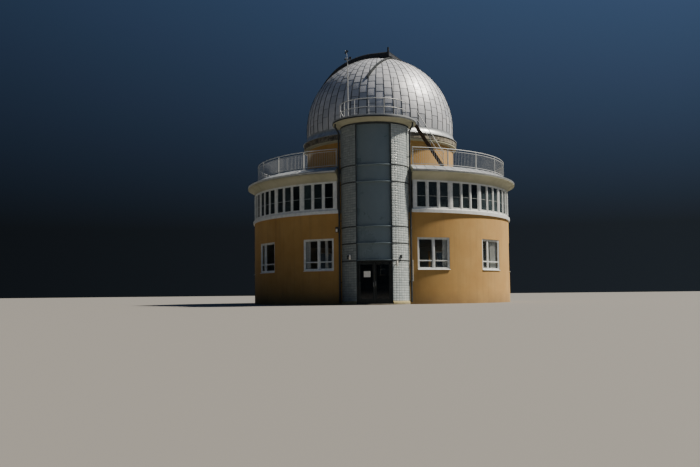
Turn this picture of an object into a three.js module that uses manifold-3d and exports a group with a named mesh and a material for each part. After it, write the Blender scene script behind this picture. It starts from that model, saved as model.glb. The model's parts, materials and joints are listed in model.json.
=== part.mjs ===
// Observatory: a two-storey round building with a terrace, a rotating dome with a
// swinging slit cover, and a round stair tower with the entrance in front.
// Millimetres, +Z up. The origin is on the dome's axis at ground level, the tower stands
// towards -Y. An angle runs from -Y towards +X.
import * as THREE from 'three';
import { mergeVertices } from 'three/addons/utils/BufferGeometryUtils.js';
import Module from 'manifold-3d';

const wasm = await Module();
wasm.setup();

// Seat gap between two pieces that touch, and clearance of a piece that moves
const SEAT = 0.3;
const CLEAR = 6;

// Levels
const GROUND_FLOOR = 890;
const STOREY = 3330;
const SLAB = 250;
const FIRST_FLOOR = GROUND_FLOOR + STOREY;
const TERRACE = FIRST_FLOOR + STOREY + 10;

// Round building and its window band
const HOUSE = { radius: 8150, wall: 450, top: 5060 };
const HOUSE_INSIDE = HOUSE.radius - HOUSE.wall;
const BAY = { count: 21, angle: 15.66, start: 15.57, panes: 3 };
const WALL_PIECES = 7;
const BAND_PIECES = 3;
const WALL_START = 12;
const BAND = { sillTop: 5280, sillRadius: 8240, head: 6870, depth: 140, start: 14.97 };
const RETURN = { inner: 7700, outer: 7850, gap: 0.05 };
const PANE = { width: 495, bottom: 5300, top: 6830, pitch: 4.88 };
const GLASS = 24;
const HOUSE_WINDOW = { width: 1950, bottom: 1900, top: 3680, frame: 70, depth: 90, setback: 75 };

// Eaves, gutter and terrace railing
const EAVES = {
  start: 14.67, lip: 8590, lipBottom: 7290, beam: 7700, deckEdge: 7850, curb: 7720, curbOuter: 7990,
};
const GUTTER = { inner: 8480, outer: 8600, bottom: 7300, top: 7420 };
const RAILING = { radius: 7930, post: 50, top: 8755, lowRail: 7790, rail: 45, pieces: 3 };

// Drum and dome
const DRUM = { radius: 4740, wall: 300, top: 9750, sides: 36 };
const CORNICE = { radius: 4955, top: 9870, railInner: 4560, railOuter: 4700, railTop: 9960 };
const DOME = { radius: 4754, shell: 80, centre: 11170, bottom: 10650, sides: 36, rings: 9 };
const DOME_RING = { outer: 4975, inner: 4540, bottom: 9880, top: 10200 };
const SKIRT = { radius: 5006, inner: 4640 };

// Slit, its cover and the rail that the cover runs on
const SLIT = { azimuth: -110.65, half: 880, foot: 1450, past: 1100 };
const COVER = {
  radius: 4895, skin: 60, half: 1336, footHalf: 800, taper: 2500, past: 1277, foot: 17, clear: 4812, fall: 0.03,
};
const RAIL = { inner: 110, outer: 260, radius: 4850, from: 11, to: 55 };
const PIVOT = { lift: 15, pin: 50, head: 80, plate: 200, lugIn: 4835, lugOut: 4890, lugHalf: 250, lugDrop: 130 };
const FIN = { height: 330, length: 110, thick: 60 };
const SHOE = { turn: 14.5, width: 160, height: 80, front: 245, back: 10 };

// Stair tower
const TOWER = { y: -7457, radius: 1918, wall: 200, top: 9860, panel: 30.5, turn: 94.5, step: 8 };
const TOWER_FLOOR = 50;
const PANEL = { outer: 1770, wall: 100, ledge: 60, ledgeRadius: 1890 };
const PANEL_LEDGES = [3310, 4220, 6640, 7560];
const PLINTH = { radius: 2000, top: 200, reach: 70.5 };
const ROOF = { radius: 2362, rimBottom: 10050, top: 10200, slabBottom: 10000, sides: 32 };
const TOWER_RAILING = { radius: 1920, bar: 45, top: 11180, middle: 10670, from: -81, step: 25, posts: 7 };
const MAST = { angle: -43, radius: 1990, tube: 28, top: 14000, arm: 13500, armHalf: 150 };
const DOWNPIPE = { angle: 74, radius: 2050, tube: 50, top: 9600, bottom: 120, outlet: 2260 };

// Entrance
const DOOR = {
  head: 2370, frame: 60, headBeam: 100, sill: 20, depth: 80, front: -9125, leaf: 50, gap: 8, heel: 16,
  pivotIn: 32, pin: 14,
};
const LINTEL = { inner: 1480, top: 2430 };

// Steep stair from the terrace to the tower roof
const STAIR = { topX: 2330, footX: 3950, near: -6700, width: 500, stringer: 45, depth: 200, treads: 10, rail: 880 };

const FINISHES = {
  stucco: new THREE.MeshStandardMaterial({ color: '#b98d45', roughness: 0.9, metalness: 0 }),
  concrete: new THREE.MeshStandardMaterial({ color: '#a39d8c', roughness: 0.9, metalness: 0 }),
  whiteFrame: new THREE.MeshStandardMaterial({ color: '#dfe2e0', roughness: 0.5, metalness: 0 }),
  soffit: new THREE.MeshStandardMaterial({ color: '#d9d7bf', roughness: 0.8, metalness: 0 }),
  glass: new THREE.MeshStandardMaterial({ color: '#3d4a4e', roughness: 0.1, metalness: 0 }),
  sheet: new THREE.MeshStandardMaterial({ color: '#aeb4b8', roughness: 0.45, metalness: 0.8 }),
  domeSheet: new THREE.MeshStandardMaterial({ color: '#b9bfc4', roughness: 0.4, metalness: 0.85 }),
  darkSteel: new THREE.MeshStandardMaterial({ color: '#4a4e52', roughness: 0.6, metalness: 0.6 }),
  galvanised: new THREE.MeshStandardMaterial({ color: '#a9adae', roughness: 0.55, metalness: 0.7 }),
  towerTile: new THREE.MeshStandardMaterial({ color: '#93a0a5', roughness: 0.5, metalness: 0 }),
  towerPanel: new THREE.MeshStandardMaterial({ color: '#7b8a90', roughness: 0.5, metalness: 0.2 }),
  rustSteel: new THREE.MeshStandardMaterial({ color: '#6a4b35', roughness: 0.8, metalness: 0.3 }),
  doorMetal: new THREE.MeshStandardMaterial({ color: '#2b2f30', roughness: 0.4, metalness: 0.5 }),
};

const HOUSE_AXIS = new THREE.Vector2(0, 0);
const TOWER_AXIS = new THREE.Vector2(0, TOWER.y);
const rad = THREE.MathUtils.degToRad;

// Solids

function solidOf(geometry) {
  const bare = (geometry.index ? geometry.toNonIndexed() : geometry).clone();
  bare.deleteAttribute('normal');
  bare.deleteAttribute('uv');
  const merged = mergeVertices(bare, 1e-3);
  const index = merged.index.array;
  const triangles = [];
  for (let i = 0; i < index.length; i += 3) {
    const [a, b, c] = [index[i], index[i + 1], index[i + 2]];
    if (a !== b && b !== c && c !== a) triangles.push(a, b, c);
  }
  const mesh = new wasm.Mesh({
    numProp: 3,
    vertProperties: new Float32Array(merged.attributes.position.array),
    triVerts: new Uint32Array(triangles),
  });
  return new wasm.Manifold(mesh);
}

function geometryOf(solid) {
  const mesh = solid.getMesh();
  const geometry = new THREE.BufferGeometry();
  geometry.setAttribute('position', new THREE.BufferAttribute(new Float32Array(mesh.vertProperties), 3));
  geometry.setIndex(new THREE.BufferAttribute(new Uint32Array(mesh.triVerts), 1));
  geometry.computeVertexNormals();
  return geometry;
}

const union = (solids) => solids.reduce((whole, solid) => whole.add(solid));

// Plan and ring shapes

function planPoint(radius, angle, axis = HOUSE_AXIS) {
  return new THREE.Vector2(axis.x + radius * Math.sin(rad(angle)), axis.y - radius * Math.cos(rad(angle)));
}

function prism(outline, bottom, top) {
  const geometry = new THREE.ExtrudeGeometry(new THREE.Shape(outline), { depth: top - bottom, bevelEnabled: false });
  return solidOf(geometry.translate(0, 0, bottom));
}

function sector(inner, outer, bottom, top, angles, axis = HOUSE_AXIS) {
  const out = angles.map((angle) => planPoint(outer, angle, axis));
  const back = [...angles].reverse().map((angle) => planPoint(inner, angle, axis));
  return prism([...out, ...back], bottom, top);
}

function disc(radius, bottom, top, angles, axis = HOUSE_AXIS) {
  return prism(angles.map((angle) => planPoint(radius, angle, axis)), bottom, top);
}

// Turns a profile of [radius, z] points, given anticlockwise, about a vertical axis
function turned(profile, angles, closed, axis = HOUSE_AXIS) {
  const points = angles.map((angle) => profile.map(([radius, z]) => {
    const place = planPoint(radius, angle, axis);
    return [place.x, place.y, z];
  }));
  const triangles = [];
  const quad = (a, b, c, d) => triangles.push(...a, ...b, ...c, ...a, ...c, ...d);
  const last = closed ? angles.length : angles.length - 1;
  for (let i = 0; i < last; i += 1) {
    const here = points[i];
    const next = points[(i + 1) % angles.length];
    for (let j = 0; j < profile.length; j += 1) {
      const k = (j + 1) % profile.length;
      quad(here[j], next[j], next[k], here[k]);
    }
  }
  if (!closed) {
    const flat = profile.map(([radius, z]) => new THREE.Vector2(radius, z));
    for (const [a, b, c] of THREE.ShapeUtils.triangulateShape(flat, [])) {
      triangles.push(...points[0][a], ...points[0][b], ...points[0][c]);
      triangles.push(...points[last][a], ...points[last][c], ...points[last][b]);
    }
  }
  const geometry = new THREE.BufferGeometry();
  geometry.setAttribute('position', new THREE.Float32BufferAttribute(triangles, 3));
  return solidOf(geometry);
}

const around = (sides, offset = 0) => Array.from({ length: sides }, (_, i) => offset + (i * 360) / sides);

function block(width, depth, height, x, y, z, turn = 0) {
  const geometry = new THREE.BoxGeometry(width, depth, height);
  return solidOf(geometry.rotateZ(rad(turn)).translate(x, y, z));
}

// A block standing on a circle: width along the circle, depth along the radius
function blockAt(radius, angle, width, depth, bottom, top, axis = HOUSE_AXIS) {
  const place = planPoint(radius, angle, axis);
  return block(width, depth, top - bottom, place.x, place.y, (bottom + top) / 2, angle);
}

// A round bar between two points
function bar(radius, start, end, sides = 10) {
  const from = new THREE.Vector3(...start);
  const to = new THREE.Vector3(...end);
  const geometry = new THREE.CylinderGeometry(radius, radius, from.distanceTo(to), sides);
  const along = to.clone().sub(from).normalize();
  geometry.applyQuaternion(new THREE.Quaternion().setFromUnitVectors(new THREE.Vector3(0, 1, 0), along));
  const middle = from.add(to).multiplyScalar(0.5);
  return solidOf(geometry.translate(middle.x, middle.y, middle.z));
}

// Angles of the round building. The walls and floors turn at each bay's start and middle,
// and the window band at its mullions.

const bayStart = (bay) => BAY.start + BAY.angle * bay;
const bayCentre = (bay) => bayStart(bay) + BAY.angle / 2;
const atMiddle = (bay) => [bayCentre(bay)];
const atMullions = (bay) => [bayCentre(bay) - PANE.pitch / 2, bayCentre(bay) + PANE.pitch / 2];

function stations(firstBay, lastBay, turns) {
  const angles = [bayStart(firstBay)];
  for (let bay = firstBay; bay < lastBay; bay += 1) angles.push(...turns(bay), bayStart(bay + 1));
  return angles;
}

const allRound = (start, turns) => [start, ...stations(0, BAY.count, turns), 360 - start];

// The bays and angles of one piece of a ring that is made in several, drawn back where the next
// piece touches it and running on to the start angle beside the tower
function ringPiece(piece, pieces, start, turns) {
  const each = BAY.count / pieces;
  const first = piece * each;
  const bays = Array.from({ length: each }, (_, i) => first + i);
  const angles = stations(first, first + each, turns);
  const back = THREE.MathUtils.radToDeg(SEAT / 2 / HOUSE_INSIDE);
  if (piece === 0) angles.unshift(start);
  else angles[0] += back;
  if (piece === pieces - 1) angles.push(360 - start);
  else angles[angles.length - 1] -= back;
  return { bays, angles };
}

const houseOutline = allRound(WALL_START, atMiddle);

// Angles of the stair tower
const towerSide = Array.from({ length: 9 }, (_, i) => TOWER.panel + TOWER.step * i);
const towerBack = [...Array.from({ length: 11 }, (_, i) => TOWER.turn + TOWER.step * i), 180];
const towerFront = Array.from({ length: 9 }, (_, i) => -TOWER.panel + (TOWER.panel * i) / 4);
const towerOutline = [...towerFront, ...towerSide.slice(1), ...towerBack.slice(1),
  ...[...towerBack].reverse().slice(1).map((angle) => 360 - angle),
  ...[...towerSide].reverse().slice(1, -1).map((angle) => 360 - angle)];

const towerShape = (bottom, top) => disc(TOWER.radius + SEAT, bottom, top, towerOutline, TOWER_AXIS);

// The model

const observatory = new THREE.Group();

function add(name, solid, finish) {
  const mesh = new THREE.Mesh(geometryOf(solid), FINISHES[finish]);
  mesh.name = name;
  observatory.add(mesh);
}

// Round building

function floorSlab(bottom, top, radius) {
  return disc(radius - SEAT, bottom, top, houseOutline).subtract(towerShape(bottom - 1, top + 1));
}

function addFloors() {
  add('base_slab', floorSlab(0, GROUND_FLOOR, HOUSE_INSIDE), 'concrete');
  add('first_floor', floorSlab(FIRST_FLOOR - SLAB, FIRST_FLOOR, HOUSE_INSIDE), 'concrete');
  add('terrace_deck', floorSlab(TERRACE - SLAB, TERRACE, EAVES.deckEdge), 'concrete');
}

const hasWindow = (bay) => bay % 2 === 0;

function windowHole(bay) {
  const middle = HOUSE.radius - HOUSE.wall / 2;
  return blockAt(middle, bayCentre(bay), HOUSE_WINDOW.width, 2 * HOUSE.wall, HOUSE_WINDOW.bottom, HOUSE_WINDOW.top);
}

function houseWall(piece) {
  const { bays, angles } = ringPiece(piece, WALL_PIECES, WALL_START, atMiddle);
  let wall = sector(HOUSE_INSIDE, HOUSE.radius, 0, HOUSE.top, angles);
  for (const bay of bays.filter(hasWindow)) wall = wall.subtract(windowHole(bay));
  if (piece === 0) wall = wall.add(bandReturn(WALL_START, BAND.start - RETURN.gap));
  if (piece === WALL_PIECES - 1) wall = wall.add(bandReturn(360 - BAND.start + RETURN.gap, 360 - WALL_START));
  return wall.subtract(towerShape(-1, BAND.head + 1));
}

// Plain wall beside the window band, set back between its last post and the tower
function bandReturn(from, to) {
  return sector(RETURN.inner, RETURN.outer, HOUSE.top - 1, BAND.head, [from, to]);
}

function houseWindow(bay) {
  const { width, bottom, top, frame, depth, setback } = HOUSE_WINDOW;
  const radius = HOUSE.radius - setback - depth / 2;
  const angle = bayCentre(bay);
  const low = bottom + SEAT;
  const high = top - SEAT;
  const clear = width - 2 * SEAT;
  const outside = blockAt(radius, angle, clear, depth, low, high);
  const light = (offset) => blockAt(radius + offset, angle, clear - 2 * frame, depth, low + frame, high - frame);
  const reach = (depth + GLASS) / 2;
  return outside.subtract(light(reach)).subtract(light(-reach));
}

function bandPiece(piece) {
  const { bays, angles } = ringPiece(piece, BAND_PIECES, BAND.start, atMullions);
  const inner = HOUSE.radius - BAND.depth;
  const profile = [[HOUSE_INSIDE, HOUSE.top + SEAT], [BAND.sillRadius, HOUSE.top + SEAT],
    [BAND.sillRadius, BAND.sillTop], [HOUSE.radius, BAND.sillTop], [HOUSE.radius, BAND.head],
    [inner, BAND.head], [inner, BAND.sillTop], [HOUSE_INSIDE, BAND.sillTop]];
  let band = turned(profile, angles, false);
  const middle = HOUSE.radius - BAND.depth / 2;
  for (const bay of bays) {
    for (let pane = 0; pane < BAY.panes; pane += 1) {
      const angle = bayCentre(bay) + (pane - 1) * PANE.pitch;
      band = band.subtract(blockAt(middle, angle, PANE.width, 2 * BAND.depth, PANE.bottom, PANE.top));
    }
  }
  return band;
}

function addHouse() {
  addFloors();
  for (let piece = 0; piece < WALL_PIECES; piece += 1) add(`outer_wall_${piece + 1}`, houseWall(piece), 'stucco');
  for (let piece = 0; piece < BAND_PIECES; piece += 1) {
    add(`window_band_${piece + 1}`, bandPiece(piece), 'whiteFrame');
  }
  const windowBays = Array.from({ length: BAY.count }, (_, bay) => bay).filter(hasWindow);
  windowBays.forEach((bay, i) => add(`ground_window_${i + 1}`, houseWindow(bay), 'whiteFrame'));
  const outer = HOUSE.radius - BAND.depth - SEAT;
  const angles = allRound(BAND.start, atMullions);
  add('band_glass', sector(outer - GLASS, outer, BAND.sillTop + SEAT, BAND.head - SEAT, angles), 'glass');
}

// Eaves: ring beam, coved soffit and the sheet-metal slope up to the curb of the terrace

function cove(from, to, points) {
  const [r0, z0] = from;
  const [r1, z1] = to;
  return Array.from({ length: points + 1 }, (_, i) => {
    const turn = (Math.PI / 2) * (i / points);
    return [r1 - (r1 - r0) * Math.cos(turn), z0 + (z1 - z0) * Math.sin(turn)];
  });
}

function eavesRing() {
  const bottom = BAND.head + SEAT;
  const profile = [
    [EAVES.beam, bottom],
    ...cove([HOUSE.radius, bottom], [EAVES.lip, EAVES.lipBottom], 3),
    [EAVES.lip, GUTTER.bottom],
    [GUTTER.inner - SEAT, GUTTER.bottom],
    [GUTTER.inner - SEAT, GUTTER.top + 20],
    [EAVES.curbOuter, EAVES.curb],
    [EAVES.deckEdge, EAVES.curb],
    [EAVES.deckEdge, TERRACE - SLAB - SEAT],
    [EAVES.beam, TERRACE - SLAB - SEAT],
  ];
  const angles = allRound(EAVES.start, atMiddle);
  const ring = turned(profile, angles, false);
  const ends = [[WALL_START, EAVES.start + 0.1], [360 - EAVES.start - 0.1, 360 - WALL_START]].map((pair) => (
    sector(EAVES.beam, EAVES.deckEdge - SEAT, bottom, TERRACE - SLAB - SEAT, pair)));
  return union([ring, ...ends]).subtract(towerShape(bottom - 1, EAVES.curb + 1));
}

function gutterRing() {
  const angles = allRound(EAVES.start, atMiddle);
  return sector(GUTTER.inner, GUTTER.outer, GUTTER.bottom + SEAT, GUTTER.top, angles);
}

// Posts stand at each bay's start, and the rails turn between them too
function terraceRailing(piece) {
  const { radius, post, top, lowRail, rail, pieces } = RAILING;
  const { bays, angles } = ringPiece(piece, pieces, BAY.start, atMiddle);
  const width = THREE.MathUtils.radToDeg((post / 2 + SEAT) / radius);
  const posts = bays.map(bayStart).concat(bayStart(bays.length + bays[0]));
  if (piece > 0) {
    angles[0] += width;
    posts[0] += width;
  }
  if (piece < pieces - 1) {
    angles[angles.length - 1] -= width;
    posts[posts.length - 1] -= width;
  }
  const rails = [top - rail, lowRail].map((level) => (
    sector(radius - rail / 2, radius + rail / 2, level, level + rail, [...new Set(angles)])));
  const uprights = posts.map((angle) => blockAt(radius, angle, post, post, EAVES.curb + SEAT, top - 5));
  return union([...rails, ...uprights]);
}

function addTerrace() {
  add('eaves', eavesRing(), 'soffit');
  add('gutter', gutterRing(), 'sheet');
  for (let piece = 0; piece < RAILING.pieces; piece += 1) {
    add(`terrace_railing_${piece + 1}`, terraceRailing(piece), 'galvanised');
  }
}

// Drum under the dome, and its cornice with the circular rail that carries the dome

function addDrum() {
  const angles = around(DRUM.sides);
  const inner = DRUM.radius - DRUM.wall;
  add('drum_wall', turned([[inner, TERRACE + SEAT], [DRUM.radius, TERRACE + SEAT], [DRUM.radius, DRUM.top],
    [inner, DRUM.top]], angles, true), 'stucco');
  add('drum_cornice', turned([
    [inner, DRUM.top + SEAT], [CORNICE.radius, DRUM.top + SEAT], [CORNICE.radius, CORNICE.top],
    [CORNICE.railOuter, CORNICE.top], [CORNICE.railOuter, CORNICE.railTop],
    [CORNICE.railInner, CORNICE.railTop], [CORNICE.railInner, CORNICE.top], [inner, CORNICE.top],
  ], angles, true), 'soffit');
}

// Dome

// A solid given in the slit's own axes: x runs from the dome's axis to the slit's foot,
// y to the left of that, z up from the dome's centre
function inSlitAxes(solid) {
  return solid.rotate([0, 0, SLIT.azimuth - 90]).translate([0, 0, DOME.centre]);
}

function domeProfile(radius, apex) {
  const arc = Array.from({ length: DOME.rings + 1 }, (_, i) => {
    const lift = (Math.PI / 2) * (i / DOME.rings);
    return [radius * Math.cos(lift), DOME.centre + radius * Math.sin(lift)];
  });
  arc[DOME.rings] = [0, apex];
  return arc;
}

function domeShell() {
  const bottom = DOME.bottom + SEAT;
  const inner = DOME.radius - DOME.shell;
  const profile = [[inner, bottom], [DOME.radius, bottom], ...domeProfile(DOME.radius, DOME.centre + DOME.radius),
    ...domeProfile(inner, DOME.centre + inner).reverse()];
  return turned(profile, around(DOME.sides, SLIT.azimuth), true);
}

function slitCut() {
  const reach = DOME.radius + 500;
  const length = reach + SLIT.past;
  return block(length, 2 * SLIT.half, reach, (reach - SLIT.past) / 2, 0, SLIT.foot + reach / 2);
}

function addDomeShell() {
  const shell = domeShell().subtract(inSlitAxes(slitCut()));
  const size = 2 * DOME.radius;
  const half = size / 2 + SEAT / 2;
  const quarters = [[1, 1], [-1, 1], [-1, -1], [1, -1]];
  quarters.forEach(([x, y], i) => {
    const quarter = inSlitAxes(block(size, size, 2 * size, x * half, y * half, 0));
    add(`dome_shell_${i + 1}`, shell.intersect(quarter), 'domeSheet');
  });
}

function domeRing() {
  const { outer, inner, bottom, top } = DOME_RING;
  return turned([
    [CORNICE.railOuter + 60, bottom], [outer, bottom], [outer, top], [inner, top],
    [inner, CORNICE.railTop + SEAT], [CORNICE.railOuter + 60, CORNICE.railTop + SEAT],
  ], around(DOME.sides, SLIT.azimuth), true);
}

function domeSkirt() {
  const foot = DOME_RING.top + SEAT;
  return turned([
    [SKIRT.inner, foot], [SKIRT.radius, foot], [SKIRT.radius, foot + 40], [4900, foot + 110],
    [4820, foot + 230], [DOME.radius + 12, DOME.bottom], [SKIRT.inner, DOME.bottom],
  ], around(DOME.sides, SLIT.azimuth), true);
}

// Round bar along the swing axis
function alongSwing(radius, from, to, sides) {
  const geometry = new THREE.CylinderGeometry(radius, radius, to - from, sides);
  return solidOf(geometry.rotateZ(-Math.PI / 2).translate((from + to) / 2, 0, 0));
}

// Arc in a plane square to the swing axis, between two radii, angles from the top to the left of the slit
function crossArc(inner, outer, from, to, x0, x1) {
  const steps = 16;
  const point = (radius, i) => {
    const turn = rad(from + ((to - from) * i) / steps);
    return new THREE.Vector2(radius * Math.sin(turn), radius * Math.cos(turn));
  };
  const count = Array.from({ length: steps + 1 }, (_, i) => i);
  const outline = [...count.map((i) => point(outer, i)), ...count.reverse().map((i) => point(inner, i))];
  const geometry = new THREE.ExtrudeGeometry(new THREE.Shape(outline), { depth: x1 - x0, bevelEnabled: false });
  const axes = new THREE.Matrix4().makeBasis(
    new THREE.Vector3(0, 1, 0), new THREE.Vector3(0, 0, 1), new THREE.Vector3(1, 0, 0));
  return solidOf(geometry.applyMatrix4(axes).translate(x0, 0, 0));
}

function ball(radius, sides, rings) {
  const profile = Array.from({ length: rings + 1 }, (_, i) => {
    const lift = -Math.PI / 2 + Math.PI * (i / rings);
    return new THREE.Vector2(i === 0 || i === rings ? 0 : radius * Math.cos(lift), radius * Math.sin(lift));
  });
  return solidOf(new THREE.LatheGeometry(profile, sides).rotateX(Math.PI / 2));
}

// A solid given about the swing axis, which rises from the slit's x axis to the pivot
function aboutSwing(solid) {
  return inSlitAxes(solid.rotate([0, -PIVOT.lift, 0]));
}

// The dome's outside and a seat's gap, cut away from what stands on its sheets
function domeCore() {
  return turned([[0, DOME.bottom], [DOME.radius + SEAT, DOME.bottom],
    ...domeProfile(DOME.radius + SEAT, DOME.centre + DOME.radius + SEAT)], around(DOME.sides, SLIT.azimuth), true);
}

function shutterRail() {
  const raw = crossArc(RAIL.radius - 200, RAIL.radius, RAIL.from, RAIL.to, -RAIL.outer, -RAIL.inner);
  return aboutSwing(raw).subtract(domeCore());
}

function shutterPivot() {
  const plateTop = DOME.radius + 42;
  const plate = block(140, 2 * PIVOT.plate, 2 * PIVOT.plate, plateTop - 70, 0, 0);
  const pin = alongSwing(PIVOT.pin, plateTop - 20, PIVOT.lugOut + 40, 24);
  const head = alongSwing(PIVOT.head, PIVOT.lugOut + CLEAR, PIVOT.lugOut + 40, 24);
  return aboutSwing(union([plate, pin, head])).subtract(domeCore());
}

// The cover: a box section that follows the slit from its foot over the top

function coverPlan(inset) {
  const { half, footHalf, taper, past } = COVER;
  const foot = COVER.radius + 400;
  const end = -(past - inset);
  const side = (width) => width - inset;
  return prism([[end, -side(half)], [taper, -side(half)], [foot, -side(footHalf)],
    [foot, side(footHalf)], [taper, side(half)], [end, side(half)]].map(([x, y]) => new THREE.Vector2(x, y)), 0, 6000);
}

// Everything between two radii about the slit's cross axis, from the foot up to the zenith and
// almost level from there
function barrel(inner, outer, from) {
  const steps = 16;
  const beyond = COVER.past + 400;
  const point = (radius, i) => {
    const turn = rad(from + ((90 - from) * i) / steps);
    return new THREE.Vector2(radius * Math.cos(turn), radius * Math.sin(turn));
  };
  const count = Array.from({ length: steps + 1 }, (_, i) => i);
  const outline = [...count.map((i) => point(outer, i)), new THREE.Vector2(-beyond, outer - COVER.fall * beyond),
    new THREE.Vector2(-beyond, inner), ...count.reverse().map((i) => point(inner, i))];
  const width = 2 * COVER.half + 400;
  const geometry = new THREE.ExtrudeGeometry(new THREE.Shape(outline), { depth: width, bevelEnabled: false });
  return solidOf(geometry.translate(0, 0, -width / 2).rotateX(Math.PI / 2));
}

function shutterCover() {
  const { radius, skin, foot, clear, past, half } = COVER;
  const inner = 4300;
  const outside = barrel(inner, radius, foot).intersect(coverPlan(0));
  const hollow = barrel(inner - 100, radius - skin, foot - 4).intersect(coverPlan(skin));
  const shell = outside.subtract(hollow).subtract(ball(clear, 72, 36));
  const lug = block(PIVOT.lugOut - PIVOT.lugIn, 2 * PIVOT.lugHalf, 300 + PIVOT.lugDrop,
    (PIVOT.lugOut + PIVOT.lugIn) / 2, 0, (300 - PIVOT.lugDrop) / 2);
  const top = radius - COVER.fall * past;
  const fin = block(FIN.length, FIN.thick, FIN.height, -past + FIN.length / 2, half - FIN.thick / 2,
    top + FIN.height / 2 - 20);
  const body = union([inSlitAxes(union([shell, fin])), aboutSwing(union([lug, shoe()]))]);
  return body.subtract(aboutSwing(alongSwing(PIVOT.pin + 1, 4700, 5100, 24)));
}

// Runner at the near corner of the cover's end wall, which stands on the curved rail
function shoe() {
  const { turn, width, height, front, back } = SHOE;
  const geometry = new THREE.BoxGeometry(front - back, width, height);
  geometry.translate(-(front + back) / 2, 0, RAIL.radius + SEAT + height / 2);
  return solidOf(geometry.rotateX(rad(-turn)));
}

function addDome() {
  add('dome_base_ring', domeRing(), 'darkSteel');
  add('dome_skirt', domeSkirt(), 'domeSheet');
  addDomeShell();
  add('shutter_rail', shutterRail(), 'darkSteel');
  add('shutter_pivot', shutterPivot(), 'darkSteel');
  add('shutter_cover', shutterCover(), 'domeSheet');
}

// Stair tower

const mirrored = (angles) => [...angles].reverse().map((angle) => 360 - angle);

function towerWall(side) {
  const inner = TOWER.radius - TOWER.wall;
  const start = towerSide.map((angle) => angle);
  start[0] += THREE.MathUtils.radToDeg(SEAT / inner);
  const back = towerBack.map((angle) => angle);
  back[back.length - 1] -= THREE.MathUtils.radToDeg(SEAT / inner);
  const [low, high] = side > 0 ? [start, back] : [mirrored(start), mirrored(back)];
  return union([
    sector(inner, TOWER.radius, TOWER_FLOOR + SEAT, TOWER.top, low, TOWER_AXIS),
    sector(inner, TOWER.radius, TERRACE - SLAB, TOWER.top, high, TOWER_AXIS),
  ]);
}

function towerPanel() {
  const outer = PANEL.outer;
  const panel = [sector(outer - PANEL.wall, outer, DOOR.head + SEAT, TOWER.top, towerFront, TOWER_AXIS)];
  for (const level of PANEL_LEDGES) {
    panel.push(sector(outer - 20, PANEL.ledgeRadius, level - PANEL.ledge / 2, level + PANEL.ledge / 2,
      towerFront, TOWER_AXIS));
  }
  panel.push(sector(LINTEL.inner, PANEL.ledgeRadius, DOOR.head + SEAT, LINTEL.top, towerFront, TOWER_AXIS));
  return union(panel);
}

function towerBase() {
  const inside = disc(TOWER.radius - SEAT, 0, TOWER_FLOOR, towerOutline, TOWER_AXIS);
  const reach = towerSide.filter((angle) => angle <= PLINTH.reach);
  const front = [...reach.slice(1).reverse().map((angle) => -angle), ...towerFront, ...reach.slice(1)];
  const apron = sector(TOWER.radius - 100, PLINTH.radius, 0, TOWER_FLOOR, front, TOWER_AXIS);
  const curbs = [reach, mirrored(reach)].map((angles) => (
    sector(TOWER.radius + SEAT, PLINTH.radius, TOWER_FLOOR - 1, PLINTH.top, angles, TOWER_AXIS)));
  return union([inside, apron, ...curbs]);
}

function towerRoof() {
  const inner = TOWER.radius - TOWER.wall - 60;
  const bottom = TOWER.top + SEAT;
  const profile = [[0, ROOF.slabBottom], [inner, ROOF.slabBottom], [inner, bottom],
    ...cove([TOWER.radius, bottom], [ROOF.radius, ROOF.rimBottom], 3), [ROOF.radius, ROOF.top], [0, ROOF.top]];
  return turned(profile, around(ROOF.sides, TOWER.panel), true, TOWER_AXIS);
}

function towerRailing() {
  const { radius, bar: size, top, middle, from, step, posts } = TOWER_RAILING;
  const angles = Array.from({ length: 2 * posts - 1 }, (_, i) => from + (i * step) / 2);
  const railing = [top - size, middle].map((level) => (
    sector(radius - size / 2, radius + size / 2, level, level + size, angles, TOWER_AXIS)));
  for (let i = 0; i < posts; i += 1) {
    railing.push(blockAt(radius, from + i * step, size, size, ROOF.top + SEAT, top, TOWER_AXIS));
  }
  return union(railing);
}

function mast() {
  const place = planPoint(MAST.radius, MAST.angle, TOWER_AXIS);
  const pole = bar(MAST.tube, [place.x, place.y, ROOF.top + SEAT], [place.x, place.y, MAST.top]);
  const arm = bar(14, [place.x - MAST.armHalf, place.y, MAST.arm], [place.x + MAST.armHalf, place.y, MAST.arm], 8);
  const cups = [-1, 1].map((side) => block(90, 90, 110, place.x + side * MAST.armHalf, place.y, MAST.arm + 20));
  const vane = block(420, 16, 120, place.x + 60, place.y, MAST.top - 140);
  return union([pole, arm, vane, ...cups]);
}

function downpipe(side) {
  const { angle, radius, tube, top, bottom, outlet } = DOWNPIPE;
  const at = (r, z) => [...planPoint(r, side * angle, TOWER_AXIS).toArray(), z];
  const pieces = [bar(tube, at(radius, bottom), at(radius, top + 20)), bar(tube, at(radius, top), at(outlet, 9900))];
  pieces.push(bar(tube, at(outlet, 9880), at(outlet, ROOF.rimBottom)));
  const reach = radius - TOWER.radius - SEAT;
  for (const level of [1200, 4600, 8100]) {
    pieces.push(blockAt(TOWER.radius + SEAT + reach / 2, side * angle, 30, reach, level, level + 40, TOWER_AXIS));
  }
  return union(pieces).subtract(towerRoof().translate([0, 0, -SEAT]));
}

// Entrance: steel frame with a threshold, and two leaves on floor pivots

// Half the frame's width: its back corners meet the edges of the tower walls
const doorHalf = () => (TOWER.y - DOOR.front - DOOR.depth) * Math.tan(rad(TOWER.panel)) - SEAT;
const leafMiddle = () => DOOR.front + DOOR.depth / 2;
const doorFoot = () => TOWER_FLOOR + SEAT;
const leafBottom = () => doorFoot() + DOOR.sill + DOOR.gap;
const leafTop = () => DOOR.head - DOOR.headBeam - DOOR.gap;
const heelX = () => doorHalf() - DOOR.frame - DOOR.heel;
const pivotX = () => heelX() - DOOR.pivotIn;

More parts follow.
